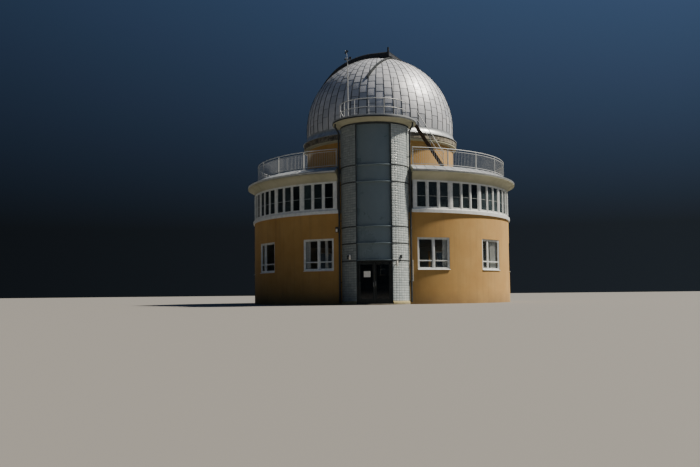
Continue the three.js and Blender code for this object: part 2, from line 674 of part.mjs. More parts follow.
function doorFrame() {
  const { head, frame, headBeam, sill, depth, pin } = DOOR;
  const outside = block(2 * doorHalf(), depth, head - doorFoot(), 0, leafMiddle(), (head + doorFoot()) / 2);
  const clearBottom = doorFoot() + sill;
  const clearTop = head - headBeam;
  const inside = block(2 * (doorHalf() - frame), 2 * depth, clearTop - clearBottom, 0, leafMiddle(),
    (clearTop + clearBottom) / 2);
  const pivots = [-1, 1].map((side) => bar(pin, [side * pivotX(), leafMiddle(), clearBottom - 5],
    [side * pivotX(), leafMiddle(), leafBottom() - SEAT], 16));
  return union([outside.subtract(inside), ...pivots]);
}

function doorLeaf(side) {
  const inner = DOOR.gap / 2;
  const width = heelX() - inner;
  const x = side * (inner + width / 2);
  return block(width, DOOR.leaf, leafTop() - leafBottom(), x, leafMiddle(), (leafTop() + leafBottom()) / 2);
}

function addTower() {
  add('tower_base', towerBase(), 'concrete');
  add('tower_wall_right', towerWall(1), 'towerTile');
  add('tower_wall_left', towerWall(-1), 'towerTile');
  add('tower_front_panel', towerPanel(), 'towerPanel');
  add('tower_roof', towerRoof(), 'soffit');
  add('tower_railing', towerRailing(), 'galvanised');
  add('mast', mast(), 'galvanised');
  add('downpipe_right', downpipe(1), 'darkSteel');
  add('downpipe_left', downpipe(-1), 'darkSteel');
  add('door_frame', doorFrame(), 'doorMetal');
  add('door_left', doorLeaf(-1), 'doorMetal');
  add('door_right', doorLeaf(1), 'doorMetal');
}

// Steep steel stair between the terrace and the tower roof

function roofStair() {
  const { topX, footX, near, width, stringer, depth, treads, rail } = STAIR;
  const foot = TERRACE + SEAT;
  const rise = ROOF.top - foot;
  const lean = Math.atan2(rise, footX - topX);
  const half = depth / 2 / Math.sin(lean);
  const side = (y) => {
    const outline = [[footX + half, foot], [topX + half, ROOF.top], [topX - half, ROOF.top], [footX - half, foot]];
    const shape = new THREE.Shape(outline.map(([x, z]) => new THREE.Vector2(x, z)));
    const geometry = new THREE.ExtrudeGeometry(shape, { depth: stringer, bevelEnabled: false });
    return solidOf(geometry.rotateX(Math.PI / 2).translate(0, y + stringer, 0));
  };
  const pieces = [side(near), side(near + width - stringer)];
  for (let i = 1; i <= treads; i += 1) {
    const share = i / (treads + 1);
    const x = footX + (topX - footX) * share;
    pieces.push(block(180, width - 10, 30, x, near + width / 2, foot + rise * share));
  }
  const post = (share) => {
    const x = footX + (topX - footX) * share;
    const z = foot + rise * share;
    return bar(20, [x, near + stringer / 2, z], [x, near + stringer / 2, z + rail]);
  };
  const y = near + stringer / 2;
  pieces.push(post(0.06), post(0.5), post(0.94));
  const along = (share) => [footX + (topX - footX) * share, y, foot + rise * share + rail];
  pieces.push(bar(20, along(0.04), along(0.96)));
  const rimSides = around(ROOF.sides, TOWER.panel);
  const roofRim = disc(ROOF.radius + SEAT, ROOF.rimBottom - 400, ROOF.top + 10, rimSides, TOWER_AXIS);
  return union(pieces).subtract(roofRim);
}

addHouse();
addTerrace();
addDrum();
addDome();
addTower();
add('roof_stair', roofStair(), 'rustSteel');

export default observatory;
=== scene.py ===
"""Looks of a round observatory.

A two-storey rendered house with a ribbon of windows carries a roof terrace, a drum and a turning
metal dome with a swinging slit cover. A round stair tower of small glazed blocks stands in front.
Metres, +Z up. Angles run from -Y, where the stair tower stands, towards +X, in degrees.
"""

from __future__ import annotations

import json
import logging
from dataclasses import dataclass
from enum import Enum
from functools import partial
from math import acos, asin, atan2, ceil, cos, degrees, pi, radians, sin, sqrt, tau
from typing import Any, Callable, Iterable, Sequence

import bmesh
import bpy
from bpy.types import Material, Mesh, Node, NodeSocket, NodeTree, Object
from mathutils import Matrix, Vector

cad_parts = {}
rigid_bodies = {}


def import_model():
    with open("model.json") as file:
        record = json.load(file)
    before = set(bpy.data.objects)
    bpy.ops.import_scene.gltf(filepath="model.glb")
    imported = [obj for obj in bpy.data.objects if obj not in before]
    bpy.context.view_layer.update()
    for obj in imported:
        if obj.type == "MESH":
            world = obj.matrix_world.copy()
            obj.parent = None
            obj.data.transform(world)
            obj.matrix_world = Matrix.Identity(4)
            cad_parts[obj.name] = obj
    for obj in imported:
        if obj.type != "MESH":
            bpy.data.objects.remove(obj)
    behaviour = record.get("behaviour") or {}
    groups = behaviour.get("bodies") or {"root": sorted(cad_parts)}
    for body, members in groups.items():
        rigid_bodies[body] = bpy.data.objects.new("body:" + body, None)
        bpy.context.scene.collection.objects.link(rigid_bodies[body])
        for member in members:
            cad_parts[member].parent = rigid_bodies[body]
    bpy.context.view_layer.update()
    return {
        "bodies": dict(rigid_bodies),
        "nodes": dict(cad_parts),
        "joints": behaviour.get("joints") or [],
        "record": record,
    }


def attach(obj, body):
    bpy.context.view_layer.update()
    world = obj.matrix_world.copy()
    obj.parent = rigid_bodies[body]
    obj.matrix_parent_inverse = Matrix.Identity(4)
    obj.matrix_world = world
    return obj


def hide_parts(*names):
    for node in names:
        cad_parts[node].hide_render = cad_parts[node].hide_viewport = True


LOG = logging.getLogger("observatory")

HOUSE_AXIS = Vector((0.0, 0.0, 0.0))
TOWER_AXIS = Vector((0.0, -7.457, 0.0))
BAYS = 21
BAY_ANGLE = 15.66
FIRST_BAY = 15.57
WINDOW_STEP = 2 * BAY_ANGLE
FIRST_WINDOW = FIRST_BAY + BAY_ANGLE / 2

Pair = tuple[float, float]
Outline = Sequence[Sequence[float]]


class Body(str, Enum):
    """Bodies that the pieces ride on."""

    BUILDING = "building"
    DOME = "dome"
    SHUTTER = "shutter"
    LEFT_LEAF = "door_leaf_left"
    RIGHT_LEAF = "door_leaf_right"


class Hand(Enum):
    """Side of the building, seen from the entrance."""

    LEFT = -1
    RIGHT = 1


# Geometry helpers


def on_circle(radius: float, angle: float, height: float = 0.0, axis: Vector = HOUSE_AXIS) -> Vector:
    """Point at a radius, at degrees from -Y towards +X, and at a height, about a vertical axis."""
    turn = radians(angle)
    return axis + Vector((radius * sin(turn), -radius * cos(turn), height))


def about(angle: float, axis: Vector = HOUSE_AXIS) -> Matrix:
    """Turn by an angle in degrees about a vertical axis, for what is modelled at the origin."""
    return Matrix.Translation(axis) @ Matrix.Rotation(radians(angle), 4, "Z")


def spread(start: float, end: float, steps: int) -> list[float]:
    """Evenly spaced values, both ends included."""
    return [start + (end - start) * i / steps for i in range(steps + 1)]


def circle(steps: int) -> list[float]:
    """Angles of a closed ring."""
    return spread(0.0, 360.0, steps)[:-1]


def full_turn(steps: int) -> list[float]:
    """Angles of a full turn in radians, without its end."""
    return spread(0.0, tau, steps)[:-1]


def oblong(inner: float, outer: float, low: float, high: float) -> list[Pair]:
    """Corners of a rectangular profile, from its foot inside, round by the outside."""
    return [(inner, low), (outer, low), (outer, high), (inner, high)]


def quarter(start: Pair, end: Pair, steps: int) -> list[Pair]:
    """Quarter curve of a cove, in chords, upright at its start and level at its end."""
    turns = spread(0.0, pi / 2, steps)
    return [(end[0] - (end[0] - start[0]) * cos(t), start[1] + (end[1] - start[1]) * sin(t)) for t in turns]


class Shape:
    """Points and faces of one piece while it is being made.

    What adds to a shape gives it back, so that the next call can follow.
    """

    def __init__(self, axis: Vector = HOUSE_AXIS) -> None:
        """Starts with nothing.

        Args:
            axis: Foot of the upright axis that its profiles turn about.
        """
        self.axis = axis
        self.points: list[Vector] = []
        self.faces: list[tuple[int, ...]] = []
        self.parts: list[int] = []

    def patch(
            self, points: Iterable[Sequence[float]], faces: Iterable[Sequence[int]],
            part: int = 0) -> Shape:
        """Adds faces over new points.

        Args:
            points: New points.
            faces: Corner numbers, counted from the first new point.
            part: Number of the finish on these faces.

        Returns:
            The shape.
        """
        base = len(self.points)
        self.points.extend(Vector(point) for point in points)
        for face in faces:
            self.faces.append(tuple(base + corner for corner in face))
            self.parts.append(part)
        return self

    def skin(self, rings: Sequence[Outline], closed: bool = False, part: int = 0) -> Shape:
        """Joins equal closed outlines one after another, and fills both ends of an open row.

        Args:
            rings: Outlines with the same number of points.
            closed: The last outline joins the first.
            part: Number of the finish.

        Returns:
            The shape.
        """
        size, count = len(rings[0]), len(rings)
        faces: list[tuple[int, ...]] = []
        for i in range(count if closed else count - 1):
            here, there = i * size, (i + 1) % count * size
            for j in range(size):
                k = (j + 1) % size
                faces.append((here + j, here + k, there + k, there + j))
        if not closed:
            faces.append(tuple(reversed(range(size))))
            faces.append(tuple((count - 1) * size + j for j in range(size)))
        return self.patch([point for ring in rings for point in ring], faces, part)

    def turned(
            self, profile: Sequence[Pair], angles: Sequence[float], closed: bool = False,
            part: int = 0) -> Shape:
        """Turns a profile of radii and heights about the axis, in stations given in degrees."""
        return self.skin(
            [[on_circle(r, a, z, self.axis) for r, z in profile] for a in angles], closed, part)

    def box(
            self, low: Sequence[float], high: Sequence[float], place: Matrix | None = None,
            part: int = 0) -> Shape:
        """Adds a block between two corners.

        Args:
            low: Lowest corner.
            high: Highest corner.
            place: Turns and moves the block.
            part: Number of the finish.

        Returns:
            The shape.
        """
        (x0, y0, z0), (x1, y1, z1) = low, high
        rings = [[Vector((x, y, z)) for x, y in oblong(x0, x1, y0, y1)] for z in (z0, z1)]
        if place is not None:
            rings = [[place @ point for point in ring] for ring in rings]
        return self.skin(rings, part=part)

    def finish(
            self, name: str, *finishes: Material, bevel: float = 0.0, sharp: float = 32.0,
            place: Matrix | None = None) -> Object:
        """Makes the object, with its faces outwards.

        Args:
            name: Name of the piece.
            finishes: Materials in the order of the faces' numbers.
            bevel: Width that its sharp edges are broken by.
            sharp: Angle in degrees past which an edge stays sharp.
            place: Moves the points before the object is made.

        Returns:
            The new object, at the origin.
        """
        mesh = bpy.data.meshes.new(name)
        points = self.points if place is None else [place @ point for point in self.points]
        mesh.from_pydata(points, [], self.faces)
        mesh.polygons.foreach_set("material_index", self.parts)
        for finish in finishes:
            mesh.materials.append(finish)
        settle_faces(mesh, bevel, sharp)
        piece = bpy.data.objects.new(name, mesh)
        bpy.context.scene.collection.objects.link(piece)
        return piece


def settle_faces(mesh: Mesh, bevel: float = 0.0, sharp: float = 32.0) -> None:
    """Turns faces outwards, breaks sharp edges and sets smooth shading between them.

    Args:
        mesh: Mesh to change.
        bevel: Width of the broken edges.
        sharp: Angle in degrees past which an edge is sharp.
    """
    work = bmesh.new()
    work.from_mesh(mesh)
    bmesh.ops.recalc_face_normals(work, faces=work.faces)
    if bevel > 0:
        limit = radians(sharp)
        edges = [edge for edge in work.edges if edge.is_manifold and edge.calc_face_angle(0.0) > limit]
        bmesh.ops.bevel(
            work, geom=edges, offset=bevel, segments=1, profile=0.5, affect="EDGES", clamp_overlap=True)
    work.to_mesh(mesh)
    work.free()
    mesh.polygons.foreach_set("use_smooth", [True] * len(mesh.polygons))
    mesh.set_sharp_from_angle(angle=radians(sharp))


def numbered(name: str, count: int) -> list[str]:
    """Names of a row of solids."""
    return [f"{name}_{i}" for i in range(1, count + 1)]


def show(piece: Object, replaced: Sequence[str] = (), body: Body = Body.BUILDING) -> None:
    """Puts a finished piece on its body.

    Args:
        piece: The finished piece.
        replaced: Plain solids that it stands for.
        body: Body that it rides on.
    """
    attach(piece, body.value)
    if replaced:
        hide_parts(*replaced)
    LOG.info("%s on %s: %d faces", piece.name, body.value, len(piece.data.polygons))


# Node helpers

Adder = Callable[..., Node]


def linear(colour: str) -> tuple[float, float, float, float]:
    """Turns an sRGB hex colour to linear red, green, blue and alpha."""
    values = [int(colour[i:i + 2], 16) / 255 for i in (1, 3, 5)]
    return (*(v / 12.92 if v <= 0.04045 else ((v + 0.055) / 1.055) ** 2.4 for v in values), 1.0)


def add_node(tree: NodeTree, kind: str, inputs: dict[Any, Any] | None = None, **settings: Any) -> Node:
    """Adds one node to a tree, with its settings and links.

    Args:
        tree: Tree that takes the node.
        kind: Blender's name for the type of node.
        inputs: What goes into its inputs, as feed takes it.
        settings: Properties of the node.

    Returns:
        The node.
    """
    node = tree.nodes.new(kind)
    for name, value in settings.items():
        setattr(node, name, value)
    feed(node, inputs or {})
    return node


def feed(node: Node, inputs: dict[Any, Any]) -> None:
    """Sets or links inputs of a node.

    Args:
        node: The node.
        inputs: By name or number, a value, an output to link, or a node to link by its first
            output in use.
    """
    for key, value in inputs.items():
        if isinstance(value, Node):
            value = next(output for output in value.outputs if output.enabled)
        if isinstance(value, NodeSocket):
            node.id_data.links.new(value, node.inputs[key])
        else:
            node.inputs[key].default_value = value


# Numbers of the colour inputs of a Mix node
MIX_A, MIX_B = 6, 7
# Blender's names of the kinds of node that recur
MATH, VECTOR_MATH, MIX = "ShaderNodeMath", "ShaderNodeVectorMath", "ShaderNodeMix"
MAP_RANGE, NOISE, SPLIT = "ShaderNodeMapRange", "ShaderNodeTexNoise", "ShaderNodeSeparateXYZ"
STORE = "GeometryNodeStoreNamedAttribute"


def tint(add: Adder, shader: Node, share: Node | NodeSocket, colour: str) -> None:
    """Mixes a second colour over what a shader shows.

    Args:
        add: Adds a node to the material.
        shader: Its surface shader.
        share: Share of the second colour.
        colour: The second colour.
    """
    base = shader.inputs["Base Color"]
    below = base.links[0].from_socket if base.is_linked else tuple(base.default_value)
    tone = add(MIX, {0: share, MIX_A: below, MIX_B: linear(colour)}, data_type="RGBA")
    feed(shader, {"Base Color": tone})


@dataclass(frozen=True)
class Finish:
    """A plain even finish, which the others build on."""

    name: str
    colour: str
    roughness: float
    metallic: float = 0.0

    def build(self) -> Material:
        """Makes the material.

        Returns:
            The new material.
        """
        material = bpy.data.materials.new(self.name)
        material.use_nodes = True
        tree = material.node_tree
        tree.nodes.clear()
        add = partial(add_node, tree)
        shader = add("ShaderNodeBsdfPrincipled", {
            "Base Color": linear(self.colour), "Roughness": self.roughness, "Metallic": self.metallic})
        add("ShaderNodeOutputMaterial", {"Surface": shader})
        self.dress(add, shader, add("ShaderNodeTexCoord").outputs["Object"])
        return material

    def dress(self, add: Adder, shader: Node, place: NodeSocket) -> None:
        """Adds the finish's own pattern.

        Args:
            add: Adds a node to the material.
            shader: Its surface shader.
            place: Object coordinates in metres.
        """


@dataclass(frozen=True)
class LimeRender(Finish):
    """Ochre silicate paint on floated lime render: dull, faintly clouded, with a 3 mm sand grain.

    The grain is drawn at 14 mm so that it shows. Rain leaves faint upright runs; the foot is darker.
    """

    cloud: str = "#a58046"
    dark_tone: str = "#6f5a3f"
    grain_mm: float = 14.0
    cloud_mm: float = 1300.0
    run_mm: Pair = (200.0, 2857.142857)

    def dress(self, add: Adder, shader: Node, place: NodeSocket) -> None:
        """Adds clouds, runs, a darker foot and the sand grain.

        Args:
            add: Adds a node to the material.
            shader: Its surface shader.
            place: Object coordinates in metres.
        """
        clouds = add(
            NOISE, {"Vector": place, "Scale": 1000 / self.cloud_mm, "Detail": 6.0, "Roughness": 0.62})
        share = add(MAP_RANGE, {"Value": clouds, "From Min": 0.35, "From Max": 0.72})
        tint(add, shader, share, self.cloud)
        across, along = (1000 / size for size in self.run_mm)
        upright = add("ShaderNodeMapping", {"Vector": place, "Scale": (across, across, along)})
        runs = add(NOISE, {"Vector": upright, "Scale": 1.0, "Detail": 4.0})
        streak = add(MAP_RANGE, {"Value": runs, "From Min": 0.5, "From Max": 0.85, "To Max": 0.35})
        tint(add, shader, streak, self.dark_tone)
        # The wall darkens towards its foot
        height = add(SPLIT, {"Vector": place}).outputs["Z"]
        foot = add(MAP_RANGE, {"Value": height, "From Min": 0.75, "From Max": 0.0, "To Max": 1.0})
        ragged = add(MATH, {0: foot, 1: clouds}, operation="MULTIPLY")
        tint(add, shader, ragged, self.dark_tone)
        grain = add(NOISE, {"Vector": place, "Scale": 1000 / self.grain_mm, "Detail": 3.0})
        bump = add("ShaderNodeBump", {"Height": grain, "Strength": 0.55, "Distance": 0.004})
        feed(shader, {"Normal": bump})


@dataclass(frozen=True)
class Weathered(Finish):
    """A finish that has clouded and dulled outdoors, such as paint, cast concrete or zinc.

    The second colour is the weathered tone, and the relief is what the hand feels: brush marks on
    paint, pores in concrete, slight waves in sheet.
    """

    worn: str = "#808080"
    cloud_mm: float = 400.0
    relief_mm: float = 40.0
    relief: float = 0.3
    depth_mm: float = 1.0
    spread: float = 0.12
    low: float = 0.38
    high: float = 0.7

    def dress(self, add: Adder, shader: Node, place: NodeSocket) -> None:
        """Adds the weathered tone, an uneven gloss and the relief.

        Args:
            add: Adds a node to the material.
            shader: Its surface shader.
            place: Object coordinates in metres.
        """
        clouds = add(
            NOISE, {"Vector": place, "Scale": 1000 / self.cloud_mm, "Detail": 7.0, "Roughness": 0.65})
        share = add(MAP_RANGE, {"Value": clouds, "From Min": self.low, "From Max": self.high})
        tint(add, shader, share, self.worn)
        least, most = max(self.roughness - self.spread, 0.02), min(self.roughness + self.spread, 1.0)
        gloss = add(MAP_RANGE, {
            "Value": clouds, "From Min": 0.3, "From Max": 0.75, "To Min": least, "To Max": most})
        feed(shader, {"Roughness": gloss})
        grain = add(NOISE, {"Vector": place, "Scale": 1000 / self.relief_mm, "Detail": 4.0})
        bump = add(
            "ShaderNodeBump", {"Height": grain, "Strength": self.relief, "Distance": self.depth_mm / 1000})
        feed(shader, {"Normal": bump})


@dataclass(frozen=True)
class Toned(Weathered):
    """A weathered finish whose tone also differs from one sheet or block to the next."""

    other: str = "#909090"
    attribute: str = "tone"

    def dress(self, add: Adder, shader: Node, place: NodeSocket) -> None:
        """Adds the weathered surface, then each piece's own tone.

        Args:
            add: Adds a node to the material.
            shader: Its surface shader.
            place: Object coordinates in metres.
        """
        super().dress(add, shader, place)
        own = add("ShaderNodeAttribute", attribute_name=self.attribute)
        tint(add, shader, own.outputs["Fac"], self.other)


@dataclass(frozen=True)
class FoldedSheet(Toned):
    """Sheets laid in rows, darkened along every fold and lap by soot, lichen and painted shade.

    The attribute "spot" gives the place within a sheet, from 0 to 1 both ways.
    """

    soot_and_shade: str = "#33383c"
    fold: float = 0.09
    lap: float = 0.055
    patch_mm: float = 454.5454545

    def dress(self, add: Adder, shader: Node, place: NodeSocket) -> None:
        """Adds the dark line of soot and painted shade round each sheet, broken up by noise.

        Args:
            add: Adds a node to the material.
            shader: Its surface shader.
            place: Object coordinates in metres.
        """
        super().dress(add, shader, place)
        spot = add("ShaderNodeAttribute", attribute_name="spot")
        within = add(SPLIT, {"Vector": spot.outputs["Vector"]})
        edges = []
        for axis, width in (("X", self.fold), ("Y", self.lap)):
            middle = add(MATH, {0: within.outputs[axis], 1: 0.5}, operation="SUBTRACT")
            away = add(MATH, {0: middle}, operation="ABSOLUTE")
            edges.append(
                add(MAP_RANGE, {"Value": away, "From Min": 0.5 - width, "From Max": 0.5 - width / 3}))
        own = add("ShaderNodeAttribute", attribute_name=self.attribute)
        weak = add(MATH, {0: edges[1], 1: own.outputs["Fac"]}, operation="MULTIPLY")
        both = add(MATH, {0: edges[0], 1: weak}, operation="MAXIMUM")
        patchy = add(NOISE, {"Vector": place, "Scale": 1000 / self.patch_mm, "Detail": 5.0})
        rate = add(MAP_RANGE, {"Value": patchy, "From Min": 0.3, "From Max": 0.62, "To Min": 0.35})
        share = add(MATH, {0: both, 1: rate}, operation="MULTIPLY")
        # Soot and painted shade along the folds and laps
        tint(add, shader, share, self.soot_and_shade)


@dataclass(frozen=True)
class Spangled(Weathered):
    """Hot-dip galvanised steel: crystals of zinc about 20 mm across, each with its own grey."""

    spangle_mm: float = 20.0

    def dress(self, add: Adder, shader: Node, place: NodeSocket) -> None:
        """Adds the crystals over the weathered surface.

        Args:
            add: Adds a node to the material.
            shader: Its surface shader.
            place: Object coordinates in metres.
        """
        super().dress(add, shader, place)
        cells = add("ShaderNodeTexVoronoi", {"Vector": place, "Scale": 1000 / self.spangle_mm})
        grey = add("ShaderNodeSeparateColor", {"Color": cells.outputs["Color"]})
        share = add(MATH, {0: grey, 1: 0.4}, operation="MULTIPLY")
        tint(add, shader, share, self.worn)


@dataclass(frozen=True)
class FloatGlass(Finish):
    """Float glass in front of an unlit room: near black, with a hard clear reflection.

    Each pane leans a little, so what it mirrors differs: a painted reflection, broken up by dust.
    """

    lit: str = "#5a6b70"
    clear: float = 0.72
    dust_and_reflection_mm: float = 333.3333333

    def dress(self, add: Adder, shader: Node, place: NodeSocket) -> None:
        """Adds the painted reflection at each pane's own share, broken up by faint dust.

        Args:
            add: Adds a node to the material.
            shader: Its surface shader.
            place: Object coordinates in metres.
        """
        own = add("ShaderNodeAttribute", attribute_name="tone")
        dust_and_reflection = add(NOISE, {"Vector": place, "Scale": 1000 / self.dust_and_reflection_mm, "Detail": 5.0})
        share = add(MATH, {0: own.outputs["Fac"], 1: dust_and_reflection}, operation="MULTIPLY")
        # The lighter colour paints the reflection
        tint(add, shader, share, self.lit)
        feed(shader, {"Alpha": self.clear})


class Palette:
    """Every finish of the building, made once."""

    def __init__(self) -> None:
        """Makes the materials."""
        # Silicate paint on floated lime render: ochre, dull and sandy
        self.render = LimeRender("ochre_silicate_paint_on_lime_render", "#b18e53", 0.93).build()
        # Gypsum plaster, trowelled smooth and distempered: chalky white
        self.plaster = Weathered(
            "white_distemper_on_plaster", "#d8d5cb", 0.9, worn="#c4c0b4", cloud_mm=900).build()
        # Board-marked concrete: grey with lighter lime bloom and small pores
        self.concrete = Weathered(
            "cast_concrete", "#8d8778", 0.88, worn="#6c675c", cloud_mm=500, relief_mm=18, relief=0.6,
            depth_mm=3).build()
        # Bitumen felt with slate grit: dark grey and grainy
        self.felt = Weathered(
            "gritted_roofing_felt", "#6d6f6e", 0.95, worn="#54575a", cloud_mm=1200, relief_mm=12,
            relief=0.8, depth_mm=2).build()
        # Brushed gloss alkyd paint on pine: white with a blue cast, a soft sheen and faint brush marks
        self.white = Weathered(
            "white_alkyd_gloss_paint_on_pine", "#dde1df", 0.38, worn="#bfc6c6", cloud_mm=260, relief_mm=30,
            relief=0.25).build()
        # Limewash on smooth render: cream and chalky
        self.cream = Weathered(
            "cream_limewash_on_render", "#b2b19a", 0.88, worn="#9b9a83", cloud_mm=1500, relief_mm=25,
            relief=0.4, depth_mm=2).build()
        # Rolled zinc-titanium sheet after years outdoors: mid grey with a blue bloom
        self.zinc = Weathered(
            "weathered_zinc_sheet", "#a9aeb1", 0.42, 0.4, worn="#878f93", cloud_mm=350, relief_mm=220,
            relief=0.35, depth_mm=4).build()
        # Hand-folded zinc sheets of the dome, each rolled and weathered a little apart from the next
        self.dome = FoldedSheet(
            "folded_zinc_dome_sheet", "#c8cbd0", 0.5, 0.22, worn="#aeb3ba", cloud_mm=420, relief_mm=240,
            relief=0.7, depth_mm=9, other="#a2a8b0").build()
        # Zinc folded over twice at the standing seams, near black from soot and painted shade
        self.seam = Weathered(
            "sooty_zinc_seam", "#2f3438", 0.8, 0.1, worn="#43494d", cloud_mm=500, relief_mm=40).build()
        # Tarred and painted plate of the base ring: grey-brown, blotched and rough
        self.band = Weathered(
            "weathered_paint_on_ring_plate", "#86806f", 0.85, 0.1, worn="#48453e", cloud_mm=260,
            relief_mm=45, relief=0.9, depth_mm=6, low=0.42, high=0.6).build()
        # Painted steel sheet, slate grey, chalked by the sun
        self.slate = Weathered(
            "slate_grey_paint_on_sheet_steel", "#24282e", 0.6, 0.1, worn="#31363c", cloud_mm=500,
            relief_mm=180, relief=0.35, depth_mm=3).build()
        # Dark micaceous iron paint: near black with a dull metallic grain
        self.iron = Weathered(
            "micaceous_iron_paint_on_steel", "#2f3437", 0.6, 0.2, worn="#444a4c", cloud_mm=160,
            relief_mm=9, relief=0.7, depth_mm=1.5).build()
        # Zinc from the dip: pale grey, with crystals that each have their own shade
        self.galvanised = Spangled(
            "hot_dip_galvanised_steel", "#bec2c3", 0.5, 0.2, worn="#a2a7a8", cloud_mm=180,
            relief_mm=30).build()
        # Red-brown primer with rust bleeding through: dull, rough and blotched
        self.rust = Weathered(
            "rusting_primer_on_steel", "#33291f", 0.85, worn="#4d3826", cloud_mm=120, relief_mm=14,
            relief=0.8, depth_mm=2, low=0.42, high=0.62).build()
        # Salt-glazed blocks, pale blue-grey: a clear thin glaze over clay, each firing a shade apart
        self.block = Toned(
            "pale_glazed_blocks", "#a0abad", 0.28, worn="#8d999b", cloud_mm=700, relief_mm=60, relief=0.3,
            other="#b0b9b9").build()
        # The same blocks made darker for the tower's shaded left strip: painted shade
        self.painted_shade_block = Toned(
            "dusty_glazed_blocks", "#828b8c", 0.35, worn="#737e7f", cloud_mm=700, relief_mm=60, relief=0.3,
            other="#8e9797").build()
        # Cement mortar, raked back and darkened by rain
        self.mortar = Weathered(
            "cement_mortar", "#4f5658", 0.92, worn="#3f4547", cloud_mm=300, relief_mm=12, relief=0.6,
            depth_mm=2).build()
        # Stove-enamelled steel cladding, blue-grey: smooth with a soft sheen
        self.enamel = Weathered(
            "blue_grey_enamelled_sheet", "#6c7d85", 0.33, 0.1, worn="#78878e", cloud_mm=1800,
            relief_mm=500, relief=0.3, depth_mm=5).build()
        # Bronze-anodised aluminium and dark paint of the entrance
        self.door = Weathered(
            "dark_anodised_aluminium", "#23282a", 0.35, 0.55, worn="#34393a", cloud_mm=240, relief_mm=60,
            relief=0.15).build()
        # Float glass before unlit rooms: near black with painted reflection, clearer before the curtains
        self.glass = FloatGlass("float_glass", "#10161b", 0.05).build()
        self.clear_glass = FloatGlass("clear_float_glass", "#0d1212", 0.05, clear=0.14).build()
        # Satin stainless steel bar
        self.stainless = Weathered(
            "satin_stainless_steel", "#c9cccd", 0.3, 0.95, worn="#b3b7b8", cloud_mm=90, relief_mm=4,
            relief=0.1).build()
        # Matt coated card, blank
        self.card = Weathered(
            "blank_white_card", "#e9e9e4", 0.6, worn="#dedcd2", cloud_mm=120, relief_mm=6,
            relief=0.1).build()
        # Opal glass shade: milky and even
        self.opal = Weathered(
            "opal_glass", "#e6e4da", 0.22, worn="#d8d5c8", cloud_mm=100, relief_mm=50, relief=0.1).build()
        # Unbleached cotton: off-white with a soft even weave, drawn at 12 mm so that it shows
        self.cotton = Weathered(
            "unbleached_cotton", "#cfd3cf", 0.95, worn="#bcc1bd", cloud_mm=300, relief_mm=12,
            relief=0.4).build()
        # Washed yellow lime mortar on the tower's plinth
        self.plinth = Weathered(
            "yellow_washed_plinth", "#948a60", 0.9, worn="#756e4e", cloud_mm=350, relief_mm=16, relief=0.6,
            depth_mm=3).build()


def tree_with(name: str, sockets: dict[str, str]) -> tuple[NodeTree, Adder, Any]:
    """Starts a geometry tree with named inputs and one geometry output.

    Args:
        name: Name of the tree.
        sockets: Kind of each input, by its name.

    Returns:
        The tree, what adds nodes to it, and its inputs by name.
    """
    tree = bpy.data.node_groups.new(name, "GeometryNodeTree")
    for label, kind in sockets.items():
        tree.interface.new_socket(label, in_out="INPUT", socket_type="NodeSocket" + kind)
    tree.interface.new_socket("Geometry", in_out="OUTPUT", socket_type="NodeSocketGeometry")
    return tree, partial(add_node, tree), tree.nodes.new("NodeGroupInput").outputs


def close_tree(add: Adder, geometry: Node, finish: NodeSocket) -> None:
    """Ends a tree in real faces with their material.

    Args:
        add: Adds a node to the tree.
        geometry: Last node of what it has made, instances too.
        finish: Its material input.
    """
    real = add("GeometryNodeRealizeInstances", {0: geometry})
    painted = add("GeometryNodeSetMaterial", {"Geometry": real, "Material": finish})
    add("NodeGroupOutput", {0: painted})


def grow(name: str, tree: NodeTree, values: dict[str, Any]) -> Object:
    """Runs a tree and keeps its result as a plain mesh.

    Args:
        name: Name of the new piece.
        tree: Geometry tree.
        values: A value for each named input.

    Returns:
        The new piece, without modifiers.
    """
    piece = bpy.data.objects.new(name, bpy.data.meshes.new(name))
    bpy.context.scene.collection.objects.link(piece)
    modifier = piece.modifiers.new(tree.name, "NODES")
    modifier.node_group = tree
    for item in tree.interface.items_tree:
        if item.in_out == "INPUT" and item.name in values:
            modifier[item.identifier] = values[item.name]
    settle(piece)
    return piece


def settle(piece: Object) -> None:
    """Turns a piece with modifiers into a plain mesh.

    Args:
        piece: The piece, which keeps its name.
    """
    graph = bpy.context.evaluated_depsgraph_get()
    graph.update()
    plain = bpy.data.meshes.new_from_object(
        piece.evaluated_get(graph), preserve_all_data_layers=True, depsgraph=graph)
    piece.modifiers.clear()
    piece.data = plain
    plain.name = piece.name


